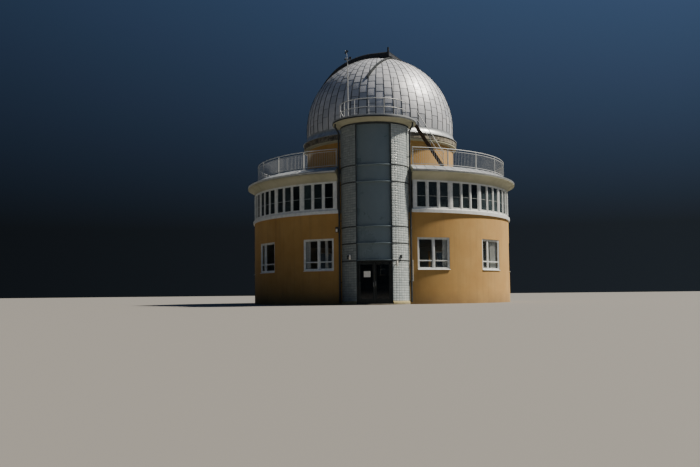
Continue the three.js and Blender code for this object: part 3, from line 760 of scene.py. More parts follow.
class RingLayout:
    """Copies of one small piece in rows round a vertical axis.

    The piece is modelled where it stands at angle zero, so that a copy only turns about the axis
    and shifts from row to row.
    """

    def __init__(self) -> None:
        """Builds the tree."""
        self.tree, add, take = tree_with("pieces_round_an_axis", {
            "Piece": "Object", "Count": "Int", "Rows": "Int", "Start": "Float", "Step": "Float",
            "Shift": "Vector", "Axis": "Vector", "Seed": "Int", "Finish": "Material"})
        total = add(MATH, {0: take["Count"], 1: take["Rows"]}, operation="MULTIPLY")
        spots = add("GeometryNodeMeshLine", {
            "Count": total, "Start Location": take["Axis"], "Offset": (0.0, 0.0, 0.0)})
        index = add("GeometryNodeInputIndex")
        column = add(MATH, {0: index, 1: take["Count"]}, operation="MODULO")
        share = add(MATH, {0: index, 1: take["Count"]}, operation="DIVIDE")
        row = add(MATH, {0: share}, operation="FLOOR")
        lift = add(VECTOR_MATH, {0: take["Shift"], "Scale": row}, operation="SCALE")
        placed = add("GeometryNodeSetPosition", {"Geometry": spots, "Offset": lift})
        angle = add(MATH, {0: column, 1: take["Step"], 2: take["Start"]}, operation="MULTIPLY_ADD")
        turn = add(MATH, {0: angle}, operation="RADIANS")
        upright = add("ShaderNodeCombineXYZ", {"Z": turn})
        turned = add("FunctionNodeEulerToRotation", {0: upright})
        source = add("GeometryNodeObjectInfo", {"Object": take["Piece"], "As Instance": True})
        copies = add("GeometryNodeInstanceOnPoints", {
            "Points": placed, "Instance": source.outputs["Geometry"], "Rotation": turned})
        tone = add("FunctionNodeRandomValue", {"ID": index, "Seed": take["Seed"]}, data_type="FLOAT")
        toned = add(
            STORE, {"Geometry": copies, "Name": "tone", "Value": tone}, data_type="FLOAT",
            domain="INSTANCE")
        close_tree(add, toned, take["Finish"])

    def lay(
            self, name: str, piece: Shape, finish: Material, count: int, start: float, step: float,
            rows: int = 1, shift: tuple[float, float, float] = (0.0, 0.0, 0.0), axis: Vector = HOUSE_AXIS,
            seed: int = 7, bevel: float = 0.0) -> Object:
        """Sets copies of a small piece round an axis.

        Args:
            name: Name of the finished piece.
            piece: One copy, as it stands at angle zero with its axis at the origin.
            finish: Material.
            count: Copies in a row.
            start: Angle of the first copy.
            step: Angle from copy to copy.
            rows: Number of rows.
            shift: Move from row to row.
            axis: Foot of the axis.
            seed: Seed of each copy's own tone.
            bevel: Width of the broken edges.

        Returns:
            One plain mesh of all copies.
        """
        one = piece.finish(name + "_one", finish, bevel=bevel)
        laid = grow(name, self.tree, {
            "Piece": one, "Count": count, "Rows": rows, "Start": start, "Step": step, "Shift": shift,
            "Axis": tuple(axis), "Seed": seed, "Finish": finish})
        bpy.data.objects.remove(one)
        return laid


class RodLayout:
    """Round bars and pipes along polylines, with bent corners."""

    def __init__(self) -> None:
        """Builds the tree."""
        self.tree, add, take = tree_with("rods_along_paths", {
            "Path": "Object", "Radius": "Float", "Bend": "Float", "Sides": "Int", "Finish": "Material"})
        source = add("GeometryNodeObjectInfo", {"Object": take["Path"]})
        line = add("GeometryNodeMeshToCurve", {"Mesh": source.outputs["Geometry"]})
        bent = add("GeometryNodeFilletCurve", {
            "Curve": line, "Count": 6, "Radius": take["Bend"], "Limit Radius": True}, mode="POLY")
        outline = add(
            "GeometryNodeCurvePrimitiveCircle", {"Resolution": take["Sides"], "Radius": take["Radius"]})
        swept = add("GeometryNodeCurveToMesh", {"Curve": bent, "Profile Curve": outline, "Fill Caps": True})
        close_tree(add, swept, take["Finish"])

    def run(
            self, name: str, paths: Sequence[Sequence[Vector]], radius: float, finish: Material,
            sides: int = 12, bend: float = 0.0) -> Object:
        """Runs a rod along each path.

        Args:
            name: Name of the finished piece.
            paths: Centre lines.
            radius: Radius of the rod.
            finish: Material.
            sides: Faces round the rod.
            bend: Radius of its bent corners.

        Returns:
            One plain mesh of all rods.
        """
        points, edges = [], []
        for path in paths:
            edges += [(len(points) + i, len(points) + i + 1) for i in range(len(path) - 1)]
            points += path
        mesh = bpy.data.meshes.new(name + "_path")
        mesh.from_pydata(points, edges, [])
        guide = bpy.data.objects.new(name + "_path", mesh)
        bpy.context.scene.collection.objects.link(guide)
        piece = grow(name, self.tree, {
            "Path": guide, "Radius": radius, "Bend": bend, "Sides": sides, "Finish": finish})
        bpy.data.objects.remove(guide)
        settle_faces(piece.data, sharp=40.0)
        return piece


@dataclass
class Assembly:
    """A part of the building, with the finishes and the layouts of repeated pieces that it is made with."""

    palette: Palette
    ring: RingLayout
    rods: RodLayout


def joined(name: str, pieces: Sequence[Object]) -> Object:
    """Joins finished meshes into one piece.

    Args:
        name: Name of the joined piece.
        pieces: Plain meshes.

    Returns:
        The joined piece.
    """
    with bpy.context.temp_override(active_object=pieces[0], selected_editable_objects=list(pieces)):
        bpy.ops.object.join()
    pieces[0].name = name
    return pieces[0]


# The house


class WindowKind(Enum):
    """Where a ground window's mullion stands, in metres to the right of its middle from outside."""

    CENTRE = 0.0
    OFFSET = -0.33


@dataclass
class GroundWindow:
    """One two-light window of the ground floor, modelled at angle zero."""

    kind: WindowKind
    half: float = 0.9747
    bottom: float = 1.9003
    top: float = 3.6797
    front: float = 8.075
    back: float = 7.985
    frame: float = 0.065
    mullion: float = 0.075
    stile: float = 0.048
    transom: float = 2.385
    glass: float = 0.006

    def lights(self) -> list[Pair]:
        """Left and right edge of each light, in metres from the window's middle."""
        middle = self.kind.value
        return [
            (-self.half + self.frame, middle - self.mullion / 2),
            (middle + self.mullion / 2, self.half - self.frame)]

    def joinery(self) -> Shape:
        """Frame, mullion, sashes and transoms.

        Returns:
            One window's joinery.
        """
        shape = Shape()
        low, high = self.bottom + self.frame, self.top - self.frame
        front, back = -self.front, -self.back
        shape.box((-self.half, front, self.bottom), (self.half, back, low))
        shape.box((-self.half, front, high), (self.half, back, self.top))
        for x in (-self.half, self.half - self.frame):
            shape.box((x, front, low), (x + self.frame, back, high))
        middle = self.kind.value
        shape.box((middle - self.mullion / 2, front + 0.004, low), (middle + self.mullion / 2, back, high))
        gap = 0.004
        for left, right in self.lights():
            near, far = front + 0.018, back - 0.012
            a, b, c, d = left + gap, right - gap, low + gap, high - gap
            for x in (a, b - self.stile):
                shape.box((x, near, c), (x + self.stile, far, d))
            for z, size in ((c, self.stile), (d - self.stile, self.stile), (self.transom - 0.03, 0.06)):
                shape.box((a + self.stile, near, z), (b - self.stile, far, z + size))
        return shape

    def panes(self) -> Shape:
        """Glass of every light, above and below the transom.

        Returns:
            One window's panes.
        """
        shape = Shape()
        y = -(self.front + self.back) / 2
        low, high = self.bottom + self.frame + self.stile, self.top - self.frame - self.stile
        for left, right in self.lights():
            for z0, z1 in ((low, self.transom - 0.03), (self.transom + 0.03, high)):
                shape.box(
                    (left + self.stile - 0.004, y, z0 - 0.004),
                    (right - self.stile + 0.004, y + self.glass, z1 + 0.004))
        return shape

    def handles(self) -> Shape:
        """Curtain rail, and lever handles on the inside of each sash beside the mullion.

        Returns:
            One window's fittings.
        """
        shape = Shape().box(
            (-self.half, 0.05 - self.back, self.top - 0.028),
            (self.half, 0.07 - self.back, self.top - 0.012))
        middle = self.kind.value
        for side in (-1, 1):
            x = middle + side * (self.mullion / 2 + self.stile / 2)
            shape.box((x - 0.012, -self.back + 0.001, 2.70), (x + 0.012, -self.back + 0.012, 2.78))
            shape.box((x - 0.009, -self.back + 0.012, 2.64), (x + 0.009, -self.back + 0.03, 2.75))
        return shape


@dataclass
class House(Assembly):
    """Rendered ground storey with its windows."""

    radius: float = 8.15
    inner: float = 7.70
    top: float = 5.06
    tower_outside: float = 13.18
    tower_inside: float = 14.44
    opening_half: float = 0.975
    opening_low: float = 1.9
    opening_high: float = 3.68
    slice_angle: float = 1.3
    return_outer: float = 7.85
    return_inner: float = 7.70
    return_start: float = 13.95
    return_end: float = 14.92
    return_top: float = 6.87

    def stations(self) -> list[tuple[float, float, bool]]:
        """Upright cuts through the wall.

        Returns:
            Angle outside, angle inside, and whether a window opening starts there.
        """
        reach = [degrees(asin(self.opening_half / r)) for r in (self.radius, self.inner)]
        marks = [(self.tower_outside, self.tower_inside, False)]
        for i in range((BAYS + 1) // 2):
            centre = FIRST_WINDOW + i * WINDOW_STEP
            marks.append((centre - reach[0], centre - reach[1], True))
            marks.append((centre + reach[0], centre + reach[1], False))
        marks.append((360 - self.tower_outside, 360 - self.tower_inside, False))
        cuts = []
        for (a0, b0, hole), (a1, b1, _) in zip(marks, marks[1:]):
            steps = max(1, ceil((a1 - a0) / self.slice_angle))
            cuts += [(a0 + (a1 - a0) * i / steps, b0 + (b1 - b0) * i / steps, hole) for i in range(steps)]
        return cuts + [marks[-1]]

    def wall(self) -> None:
        """Makes the round wall, with its window openings cut through, and the plain returns above it."""
        cuts = self.stations()
        levels = [0.0, self.opening_low, self.opening_high, self.top]
        rows, shape = len(levels), Shape()
        points = [on_circle(r, a, z) for out, back, _ in cuts
            for r, a in ((self.radius, out), (self.inner, back)) for z in levels]

        def corner(i: int, side: int, j: int) -> int:
            """Number of a corner, from its cut, its side and its level."""
            return (i * 2 + side) * rows + j

        def solid(i: int, j: int) -> bool:
            """Whether the wall fills the block after a cut and over a level."""
            return 0 <= i < len(cuts) - 1 and 0 <= j < rows - 1 and not (cuts[i][2] and j == 1)

        faces: list[tuple[int, ...]] = []
        inside: list[tuple[int, ...]] = []
        for i in range(len(cuts)):
            for j in range(rows):
                if solid(i, j):
                    faces.append((corner(i, 0, j), corner(i + 1, 0, j), corner(i + 1, 0, j + 1),
                        corner(i, 0, j + 1)))
                    inside.append((corner(i, 1, j), corner(i, 1, j + 1), corner(i + 1, 1, j + 1),
                        corner(i + 1, 1, j)))
                if solid(i, j) != solid(i - 1, j):
                    faces.append(
                        (corner(i, 0, j), corner(i, 0, j + 1), corner(i, 1, j + 1), corner(i, 1, j)))
                if solid(i, j) != solid(i, j - 1):
                    faces.append(
                        (corner(i, 0, j), corner(i + 1, 0, j), corner(i + 1, 1, j), corner(i, 1, j)))
        shape.patch(points, faces + inside)
        shape.parts[len(faces):] = [1] * len(inside)
        for hand in Hand:
            ends = [hand.value * a % 360 for a in (self.return_start, self.return_end)]
            shape.turned(
                oblong(self.return_inner, self.return_outer, self.top + 0.0005, self.return_top), ends)
        show(
            shape.finish("house_wall", self.palette.render, self.palette.plaster),
            numbered("outer_wall", 7))

    def windows(self) -> None:
        """Makes the eleven ground-floor windows, their sills and glass."""
        runs = [(WindowKind.CENTRE, 1, 0), (WindowKind.OFFSET, 9, 1), (WindowKind.CENTRE, 1, 10)]
        joinery, panes, handles = [], [], []
        for number, (kind, count, first) in enumerate(runs):
            window = GroundWindow(kind)
            spots = (count, FIRST_WINDOW + first * WINDOW_STEP, WINDOW_STEP)
            joinery.append(self.ring.lay(
                f"joinery_{number}", window.joinery(), self.palette.white, *spots, bevel=0.004))
            panes.append(self.ring.lay(
                f"panes_{number}", window.panes(), self.palette.clear_glass, *spots, seed=number))
            handles.append(
                self.ring.lay(f"handles_{number}", window.handles(), self.palette.stainless, *spots))
        show(joined("ground_window_joinery", joinery), numbered("ground_window", 11))
        show(joined("ground_window_panes", panes))
        show(joined("ground_window_fittings", handles))
        reach = degrees(self.opening_half / self.radius)
        low = self.opening_low
        sill = Shape().turned([
            (self.radius - 0.074, low + 0.001), (self.radius + 0.005, low + 0.001),
            (self.radius + 0.005, low - 0.028), (self.radius + 0.045, low - 0.028),
            (self.radius + 0.045, low + 0.004),
            (self.radius - 0.074, low + 0.03)], spread(-reach, reach, 10))
        show(self.ring.lay(
            "ground_window_sills", sill, self.palette.white, 11, FIRST_WINDOW, WINDOW_STEP,
            bevel=0.003))

    def curtains(self) -> None:
        """Hangs cotton at the far side of each window: wide in the second and narrow in the last."""
        window = GroundWindow(WindowKind.OFFSET)
        hung = [
            ("curtain_1", 0, 0.60, 0.90), ("curtain_2", 1, 0.11, 0.90), ("curtain_11", 10, -0.90, -0.60),
            ("curtain_narrow_11", 10, 0.34, 0.52)]
        hung += [(f"curtain_{i + 1}", i, 0.40, 0.90) for i in range(2, 6)]
        hung += [(f"curtain_{i + 1}", i, -0.90, -0.40) for i in range(6, 10)]
        for name, i, left, right in hung:
            self.curtain(name, FIRST_WINDOW + i * WINDOW_STEP, (left, right), window)

    def curtain(self, name: str, angle: float, reach: Pair, window: GroundWindow) -> None:
        """Makes one hung curtain with soft pleats.

        Args:
            name: Name of the curtain.
            angle: Angle of its window.
            reach: Its two edges, to the right of the window's middle.
            window: Sizes of the window.
        """
        pleat, depth, fall = 0.085, 0.022, 8
        steps = max(8, round((reach[1] - reach[0]) / pleat) * 8)
        top, bottom = window.top - 0.03, window.bottom + 0.06
        rows = []
        for k, z in enumerate(spread(top, bottom, fall)):
            swell = depth * (0.55 + 0.45 * k / fall)
            row = []
            for x in spread(reach[0], reach[1], steps):
                wave = sin(2 * pi * (x - reach[0]) / pleat)
                row.append(Vector((x, 0.06 - window.back + swell * wave + 0.004 * sin(9 * x + k), z)))
            rows.append(row)
        width = steps + 1
        shape = Shape().patch([p for row in rows for p in row], [
            (k * width + i, k * width + i + 1, (k + 1) * width + i + 1, (k + 1) * width + i)
            for k in range(fall) for i in range(steps)])
        piece = shape.finish(name, self.palette.cotton, sharp=80.0, place=about(angle))
        show(piece)

    def build(self) -> None:
        """Makes the storey."""
        self.wall()
        self.windows()
        self.curtains()


@dataclass
class WindowBand(Assembly):
    """Ribbon of windows of the upper storey: sill, head, posts, sashes and panes."""

    sill_foot: float = 5.0603
    sill_top: float = 5.28
    sill_nose: float = 8.24
    head: float = 6.87
    outer: float = 8.15
    inner: float = 8.01
    wall_inner: float = 7.70
    sill_end: float = 14.35
    start: float = 14.97
    pitch: float = 4.88
    post_half: float = 0.108
    mullion_half: float = 0.034
    sash_half: float = 0.305
    stile: float = 0.044
    transom: float = 5.985

    def rings(self) -> None:
        """Makes the projecting sill and the head rail."""
        top, foot, nose = self.sill_top, self.sill_foot, self.sill_nose
        shape = Shape().turned([
            (self.wall_inner, foot), (nose - 0.045, foot), (nose - 0.045, foot + 0.012),
            (nose - 0.02, foot + 0.012), (nose - 0.02, foot - 0.012), (nose, foot - 0.012),
            (nose, top - 0.045), (nose - 0.012, top - 0.032), (self.outer, top),
            (self.wall_inner, top)], spread(self.sill_end, 360 - self.sill_end, 220))
        rails = spread(self.start, 360 - self.start, 220)
        shape.turned([
            (self.inner, top + 0.001), (self.outer - 0.012, top + 0.001),
            (self.outer - 0.012, top + 0.045), (self.inner, top + 0.05)], rails)
        shape.turned(oblong(self.inner, self.outer - 0.004, self.head - 0.045, self.head), rails)
        show(
            shape.finish("window_band_sill_and_head", self.palette.white),
            numbered("window_band", 3))

    def posts(self) -> None:
        """Makes the wide post at each bay's start and the two mullions inside each bay."""
        white = self.palette.white
        low, high = self.sill_top + 0.03, self.head - 0.03
        post = Shape().box((-self.post_half, -self.outer, low), (self.post_half, -self.inner, high))
        post.box((-0.05, -self.outer - 0.014, low), (0.05, -self.outer + 0.01, high))
        mullion = Shape().box(
            (-self.mullion_half, -self.outer - 0.004, low), (self.mullion_half, -self.inner, high))
        first = self.start + degrees(self.post_half / self.outer) + 0.02
        centres = FIRST_BAY + BAY_ANGLE
        rows = [
            self.ring.lay("posts", post, white, BAYS - 1, centres, BAY_ANGLE, bevel=0.005),
            self.ring.lay("end_posts", post, white, 2, first, 360 - 2 * first, bevel=0.005)]
        for side in (-0.5, 0.5):
            rows.append(self.ring.lay("mullions", mullion, white, BAYS, FIRST_WINDOW + side * self.pitch,
                BAY_ANGLE, bevel=0.005))
        show(joined("window_band_posts", rows))

    def sashes(self) -> None:
        """Makes a sash with its transom in each light, and the panes."""
        low, high = self.sill_top + 0.048, self.head - 0.048
        half, stile = self.sash_half, self.stile
        front, back = -self.outer + 0.026, -self.inner - 0.03
        sash = Shape()
        for x in (-half, half - stile):
            sash.box((x, front, low), (x + stile, back, high))
        for z, size in ((low, 0.05), (high - 0.045, 0.045)):
            sash.box((-half + stile, front, z), (half - stile, back, z + size))
        sash.box(
            (-half + stile, front + 0.022, self.transom - 0.005),
            (half - stile, back, self.transom + 0.005))
        for x in (-half + stile, half - stile - 0.012):
            sash.box((x, front + 0.012, low + 0.05), (x + 0.012, front + 0.03, high - 0.045))
        pane = Shape().box(
            (-half + 0.02, front + 0.036, low + 0.02), (half - 0.02, front + 0.042, high - 0.02))
        frames, glass = [], []
        for light in (-1, 0, 1):
            start = FIRST_WINDOW + light * self.pitch
            frames.append(self.ring.lay("sashes", sash, self.palette.white, BAYS, start, BAY_ANGLE))
            glass.append(self.ring.lay(
                "band_panes", pane, self.palette.glass, BAYS, start, BAY_ANGLE, seed=11 + light))
        show(joined("window_band_sashes", frames))
        show(joined("window_band_panes", glass), ["band_glass"])

    def build(self) -> None:
        """Makes the ribbon."""
        self.rings()
        self.posts()
        self.sashes()


@dataclass
class Terrace(Assembly):
    """Coved eaves, sheet-metal slope, gutter and railing of the roof terrace."""

    foot: Pair = (8.15, 6.8703)
    lip: Pair = (8.575, 7.29)
    curb_outer: float = 7.99
    curb_inner: float = 7.85
    curb_top: float = 7.72
    beam: float = 7.70
    deck_under: float = 7.3097
    start: float = 14.67
    railing: float = 7.93
    rail_top: float = 8.755
    low_rail: float = 7.81
    bar_gap: float = 0.115

    def angles(self, start: float, steps: int = 240) -> list[float]:
        """Stations from one side of the tower round to the other."""
        return spread(start, 360 - start, steps)

    def eaves(self) -> None:
        """Makes the cove, the slope over it and its standing seams."""
        lip_r, lip_z = self.lip
        profile = [
            (self.beam, self.foot[1]), *quarter(self.foot, self.lip, 14), (lip_r, lip_z + 0.009),
            (8.461, 7.3), (8.461, 7.43), (self.curb_outer - 0.01, self.curb_top - 0.02),
            (self.curb_inner, self.curb_top - 0.02), (self.curb_inner, self.deck_under),
            (self.beam, self.deck_under)]
        cove = Shape().turned(profile, self.angles(self.start))
        for hand in Hand:
            ends = [hand.value * a % 360 for a in (13.95, self.start)]
            cove.turned(oblong(self.beam, self.curb_inner, self.foot[1], self.deck_under), ends)
        show(cove.finish("eaves_cove", self.palette.cream), ["eaves"])
        top, out = self.curb_top, self.curb_outer
        sheet = Shape().turned([
            (self.curb_inner - 0.012, 7.60), (self.curb_inner - 0.004, 7.60),
            (self.curb_inner - 0.004, top - 0.008), (out - 0.004, top - 0.008), (8.492, 7.432),
            (8.50, 7.415), (8.506, 7.415), (8.502, 7.441), (out, top),
            (self.curb_inner - 0.012, top)], self.angles(self.start - 0.05))
        seam = Shape().skin([[(x, -r, z) for r, z in ((out - 0.01, top - 0.006), (8.49, 7.438),
            (8.49, 7.466), (out - 0.01, top + 0.022))] for x in (-0.007, 0.007)])
        seams = self.ring.lay(
            "slope_seams", seam, self.palette.zinc, 84, self.start + 1.5, (360 - 2 * self.start - 3) / 83)
        plain = sheet.finish("slope", self.palette.zinc)
        show(joined("eaves_sheet_slope", [plain, seams]))

    def gutter(self) -> None:
        """Makes the half-round gutter with its bead and brackets."""
        centre, top, radius, skin, deep = 8.523, 7.418, 0.0585, 0.0035, 1.9
        turns = spread(pi, 2 * pi, 12)
        stations = self.angles(self.start + 0.05)

        def arc(size: float, angles: Iterable[float]) -> list[Pair]:
            """Half-round line of the trough, deeper than it is wide."""
            return [(centre + size * cos(t), top + deep * size * sin(t)) for t in angles]

        shape = Shape().turned(arc(radius, turns) + arc(radius - skin, reversed(turns)), stations)
        bead = 0.005
        shape.turned([(centre + radius - 0.004 + bead * cos(t), top - 0.004 + bead * sin(t))
            for t in full_turn(6)], stations)
        trough = shape.finish("trough", self.palette.zinc)
        band = arc(radius + 0.0008, turns) + arc(radius - 0.006, reversed(turns))
        bracket = Shape().skin([[(x, -r, z) for r, z in band] for x in (-0.012, 0.012)])
        step = (355 - 2 * self.start) / 65
        brackets = self.ring.lay("gutter_brackets", bracket, self.palette.zinc, 66, self.start + 2.5, step)
        show(joined("eaves_gutter", [trough, brackets]), ["gutter"])

    def deck(self) -> None:
        """Makes the zinc upstand at the curb of the deck."""
        shape = Shape().turned(
            [(7.80, 7.5603), (7.838, 7.5603), (7.838, 7.60), (7.832, 7.60), (7.826, 7.575), (7.80, 7.566)],
            self.angles(self.start))
        show(shape.finish("deck_edge_flashing", self.palette.zinc))

    def rails(self) -> None:
        """Makes the posts, rails and infill bars of the terrace railing."""
        steel = self.palette.galvanised
        radius = self.railing
        stations = self.angles(FIRST_BAY - 0.2)
        circle_at = [(0.024 * cos(t), 0.024 * sin(t)) for t in full_turn(10)]
        handrail = Shape().turned(
            [(radius + dr, self.rail_top - 0.024 + dz) for dr, dz in circle_at], stations)
        for level, half in ((self.low_rail, 0.018), (self.rail_top - 0.15, 0.014)):
            handrail.turned(oblong(radius - 0.008, radius + 0.008, level - half, level + half), stations)
        post = Shape().box(
            (-0.022, -radius - 0.022, self.curb_top + 0.001),
            (0.022, -radius + 0.022, self.rail_top - 0.04))
        post.box((-0.055, -radius - 0.05, self.curb_top), (0.055, -radius + 0.05, self.curb_top + 0.012))
        for x in (-0.038, 0.038):
            post.box(
                (x - 0.01, -radius + 0.028, self.curb_top + 0.012),
                (x + 0.01, -radius + 0.042, self.curb_top + 0.024))
        bar = Shape().box(
            (-0.006, -radius - 0.006, self.low_rail), (0.006, -radius + 0.006, self.rail_top - 0.15))
        per_bay = round(radians(BAY_ANGLE) * radius / self.bar_gap)
        step = BAY_ANGLE / per_bay
        rails = handrail.finish("rails", steel)
        posts = self.ring.lay("railing_posts", post, steel, BAYS + 1, FIRST_BAY, BAY_ANGLE, bevel=0.003)
        bars = self.ring.lay("railing_bars", bar, steel, BAYS * per_bay, FIRST_BAY + step / 2, step)
        piece = joined("terrace_railing", [rails, posts, bars])
        show(piece, numbered("terrace_railing", 3))

    def build(self) -> None:
        """Makes the terrace's edge."""
        self.eaves()
        self.gutter()
        self.deck()
        self.rails()


@dataclass
class Drum(Assembly):
    """Rendered drum under the dome and its cornice."""

    radius: float = 4.74
    inner: float = 4.44
    foot: float = 7.5603
    top: float = 9.75
    cornice: float = 4.955
    cornice_top: float = 9.87
    rail: tuple[float, float, float] = (4.56, 4.70, 9.96)
    steps: int = 144

    def build(self) -> None:
        """Makes the drum, its flashing and the cornice."""
        ring = circle(self.steps)
        wall = Shape().turned(oblong(self.inner, self.radius, self.foot, self.top), ring, True)
        piece = wall.finish("drum_render", self.palette.render, self.palette.plaster)
        show(piece, ["drum_wall"])
        flashing = Shape().turned([
            (self.radius + 0.001, self.foot), (self.radius + 0.03, self.foot),
            (self.radius + 0.012, self.foot + 0.05), (self.radius + 0.012, self.foot + 0.17),
            (self.radius + 0.001, self.foot + 0.18)], ring, True)
        show(flashing.finish("drum_flashing", self.palette.zinc))
        low, high, out = self.top + 0.0003, self.cornice_top, self.cornice
        rail_in, rail_out, rail_top = self.rail
        trim = Shape().turned([
            (self.inner, low), (self.radius + 0.035, low),
            *quarter((self.radius + 0.035, low), (out - 0.02, low + 0.055), 6)[1:], (out, low + 0.065),
            (out, high), (rail_out, high), (rail_out, rail_top), (rail_in, rail_top), (rail_in, high),
            (self.inner, high)], ring, True)
        show(trim.finish("drum_cornice_moulding", self.palette.cream), ["drum_cornice"])


# The dome

DOME_CENTRE = Vector((0.0, 0.0, 11.17))
SLIT_AZIMUTH = -110.65
SWING_RISE = 15.0
# The slit's own axes: x from the dome's axis to the slit's foot, y to its near side, z up
SLIT_AXES = about(SLIT_AZIMUTH - 90, DOME_CENTRE)
# The axes that the cover swings about: x rises from the dome's centre to the pivot under the
# slit's foot
SWING_AXES = SLIT_AXES @ Matrix.Rotation(radians(-SWING_RISE), 4, "Y")


def cut_slit(mesh: Mesh, half: float, past: float, foot: float, caps: bool) -> None:
    """Cuts the slit out of a mesh on the dome.

    Args:
        mesh: Mesh in the building's frame.
        half: Half the slit's width.
        past: How far the slit runs past the zenith.
        foot: Height of its foot above the dome's centre.
        caps: Open ends that the cut leaves are filled.
    """
    work = bmesh.new()
    work.from_mesh(mesh)
    work.transform(SLIT_AXES.inverted())
    for point, normal in (
            ((0, half, 0), (0, 1, 0)), ((0, -half, 0), (0, 1, 0)), ((-past, 0, 0), (1, 0, 0)),
            ((0, 0, foot), (0, 0, 1))):
        bmesh.ops.bisect_plane(
            work, geom=[*work.verts, *work.edges, *work.faces], dist=1e-6, plane_co=point, plane_no=normal)
    inside = [face for face in work.faces if abs((middle := face.calc_center_median()).y) < half
        and middle.x > -past and middle.z > foot]
    bmesh.ops.delete(work, geom=inside, context="FACES")
    if caps:
        bmesh.ops.holes_fill(work, edges=[edge for edge in work.edges if edge.is_boundary], sides=8)
    work.transform(SLIT_AXES)
    work.to_mesh(mesh)
    work.free()


@dataclass
class Dome(Assembly):
    """Turning dome: base ring, flared skirt, folded sheets, standing seams and the slit's curb."""

    radius: float = 4.758
    low: float = -6.15
    high: float = 83.5
    gores: int = 56
    rows: int = 14
    turn: float = -0.24
    lap: float = 0.011
    sheet: float = 0.004
    seam_height: float = 0.026
    seam_width: float = 0.034
    slit_half: float = 0.88
    slit_past: float = 1.10
    slit_foot: float = 1.45
    ring_outer: float = 4.975
    ring_inner: float = 4.54
    ring_lip: float = 4.76
    ring_seat: float = 9.9603
    ring_bottom: float = 9.88
    ring_top: float = 10.20
    skirt: float = 5.006
    skirt_top: float = 10.65
    skirt_inner: float = 4.64
    skirt_neck: float = 4.766
    steps: int = 156

    def sheet_tree(self) -> NodeTree:
        """Tree that lays the dome's sheets: gores of lapped sheets, every other gore half a sheet higher.

        Returns:
            The tree.
        """
        tree, add, take = tree_with("lapped_dome_sheets", {
            "Gores": "Int", "Rows": "Int", "Radius": "Float", "Low": "Float", "High": "Float",
            "Lap": "Float", "Centre": "Vector", "Seed": "Int", "Finish": "Material"})
        across, up = (add(MATH, {0: take[name], 1: 1.0}, operation="ADD") for name in ("Gores", "Rows"))
        grid = add("GeometryNodeMeshGrid", {
            "Size X": take["Gores"], "Size Y": take["Rows"], "Vertices X": across, "Vertices Y": up})
        index = add("GeometryNodeInputIndex")
        tone = add("FunctionNodeRandomValue", {"ID": index, "Seed": take["Seed"]}, data_type="FLOAT")
        toned = add(
            STORE, {"Geometry": grid.outputs["Mesh"], "Name": "tone", "Value": tone}, data_type="FLOAT",
            domain="FACE")
        place = add("GeometryNodeInputPosition")
        # The grid is centred, one unit to a sheet, so half its size brings its corner to the origin
        half = add("ShaderNodeCombineXYZ", {"X": take["Gores"], "Y": take["Rows"]})
        corner = add(VECTOR_MATH, {0: half, "Scale": 0.5}, operation="SCALE")
        moved = add(VECTOR_MATH, {0: place, 1: corner}, operation="ADD")
        base = add(VECTOR_MATH, {0: moved}, operation="FLOOR")
        kept = add(
            STORE, {"Geometry": toned, "Name": "cell", "Value": base}, data_type="FLOAT_VECTOR",
            domain="FACE")
        apart = add("GeometryNodeSplitEdges", {0: kept})
        fine = add("GeometryNodeSubdivideMesh", {"Mesh": apart, "Level": 2})
        cell = add("GeometryNodeInputNamedAttribute", {"Name": "cell"}, data_type="FLOAT_VECTOR")
        cell_xyz = add(SPLIT, {"Vector": cell})
        spot = add(SPLIT, {"Vector": moved})
        within = add(MATH, {0: spot.outputs["Y"], 1: cell_xyz.outputs["Y"]}, operation="SUBTRACT")
        odd = add(MATH, {0: cell_xyz.outputs["X"], 1: 2.0}, operation="FLOORED_MODULO")
        ramp = add("ShaderNodeClamp", {"Value": spot.outputs["Y"]})
        half_up = add(MATH, {0: odd, 1: 0.5}, operation="MULTIPLY")
        raised = add(MATH, {0: half_up, 1: ramp, 2: spot.outputs["Y"]}, operation="MULTIPLY_ADD")
        capped = add(MATH, {0: raised, 1: take["Rows"]}, operation="MINIMUM")
        share = add(MATH, {0: capped, 1: take["Rows"]}, operation="DIVIDE")
        lift = add(MAP_RANGE, {"Value": share, "To Min": take["Low"], "To Max": take["High"]}, clamp=False)
        lift_rad = add(MATH, {0: lift}, operation="RADIANS")
        round_it = add(MATH, {0: spot.outputs["X"], 1: take["Gores"]}, operation="DIVIDE")
        azimuth = add(MATH, {0: round_it, 1: tau}, operation="MULTIPLY")
        under = add(MATH, {0: 1.0, 1: within}, operation="SUBTRACT")
        inside = add(VECTOR_MATH, {0: moved, 1: cell}, operation="SUBTRACT")
        marked = add(
            STORE, {"Geometry": fine, "Name": "spot", "Value": inside}, data_type="FLOAT_VECTOR",
            domain="POINT")
        radius = add(MATH, {0: under, 1: take["Lap"], 2: take["Radius"]}, operation="MULTIPLY_ADD")
        sine, cosine = (add(MATH, {0: lift_rad}, operation=kind) for kind in ("SINE", "COSINE"))
        north, east = (add(MATH, {0: azimuth}, operation=kind) for kind in ("SINE", "COSINE"))
        x, y = (add(MATH, {0: cosine, 1: side}, operation="MULTIPLY") for side in (east, north))
        way = add("ShaderNodeCombineXYZ", {"X": x, "Y": y, "Z": sine})
        reach = add(VECTOR_MATH, {0: way, "Scale": radius}, operation="SCALE")
        final = add(VECTOR_MATH, {0: reach, 1: take["Centre"]}, operation="ADD")
        bent = add("GeometryNodeSetPosition", {"Geometry": marked, "Position": final})
        close_tree(add, bent, take["Finish"])
        return tree

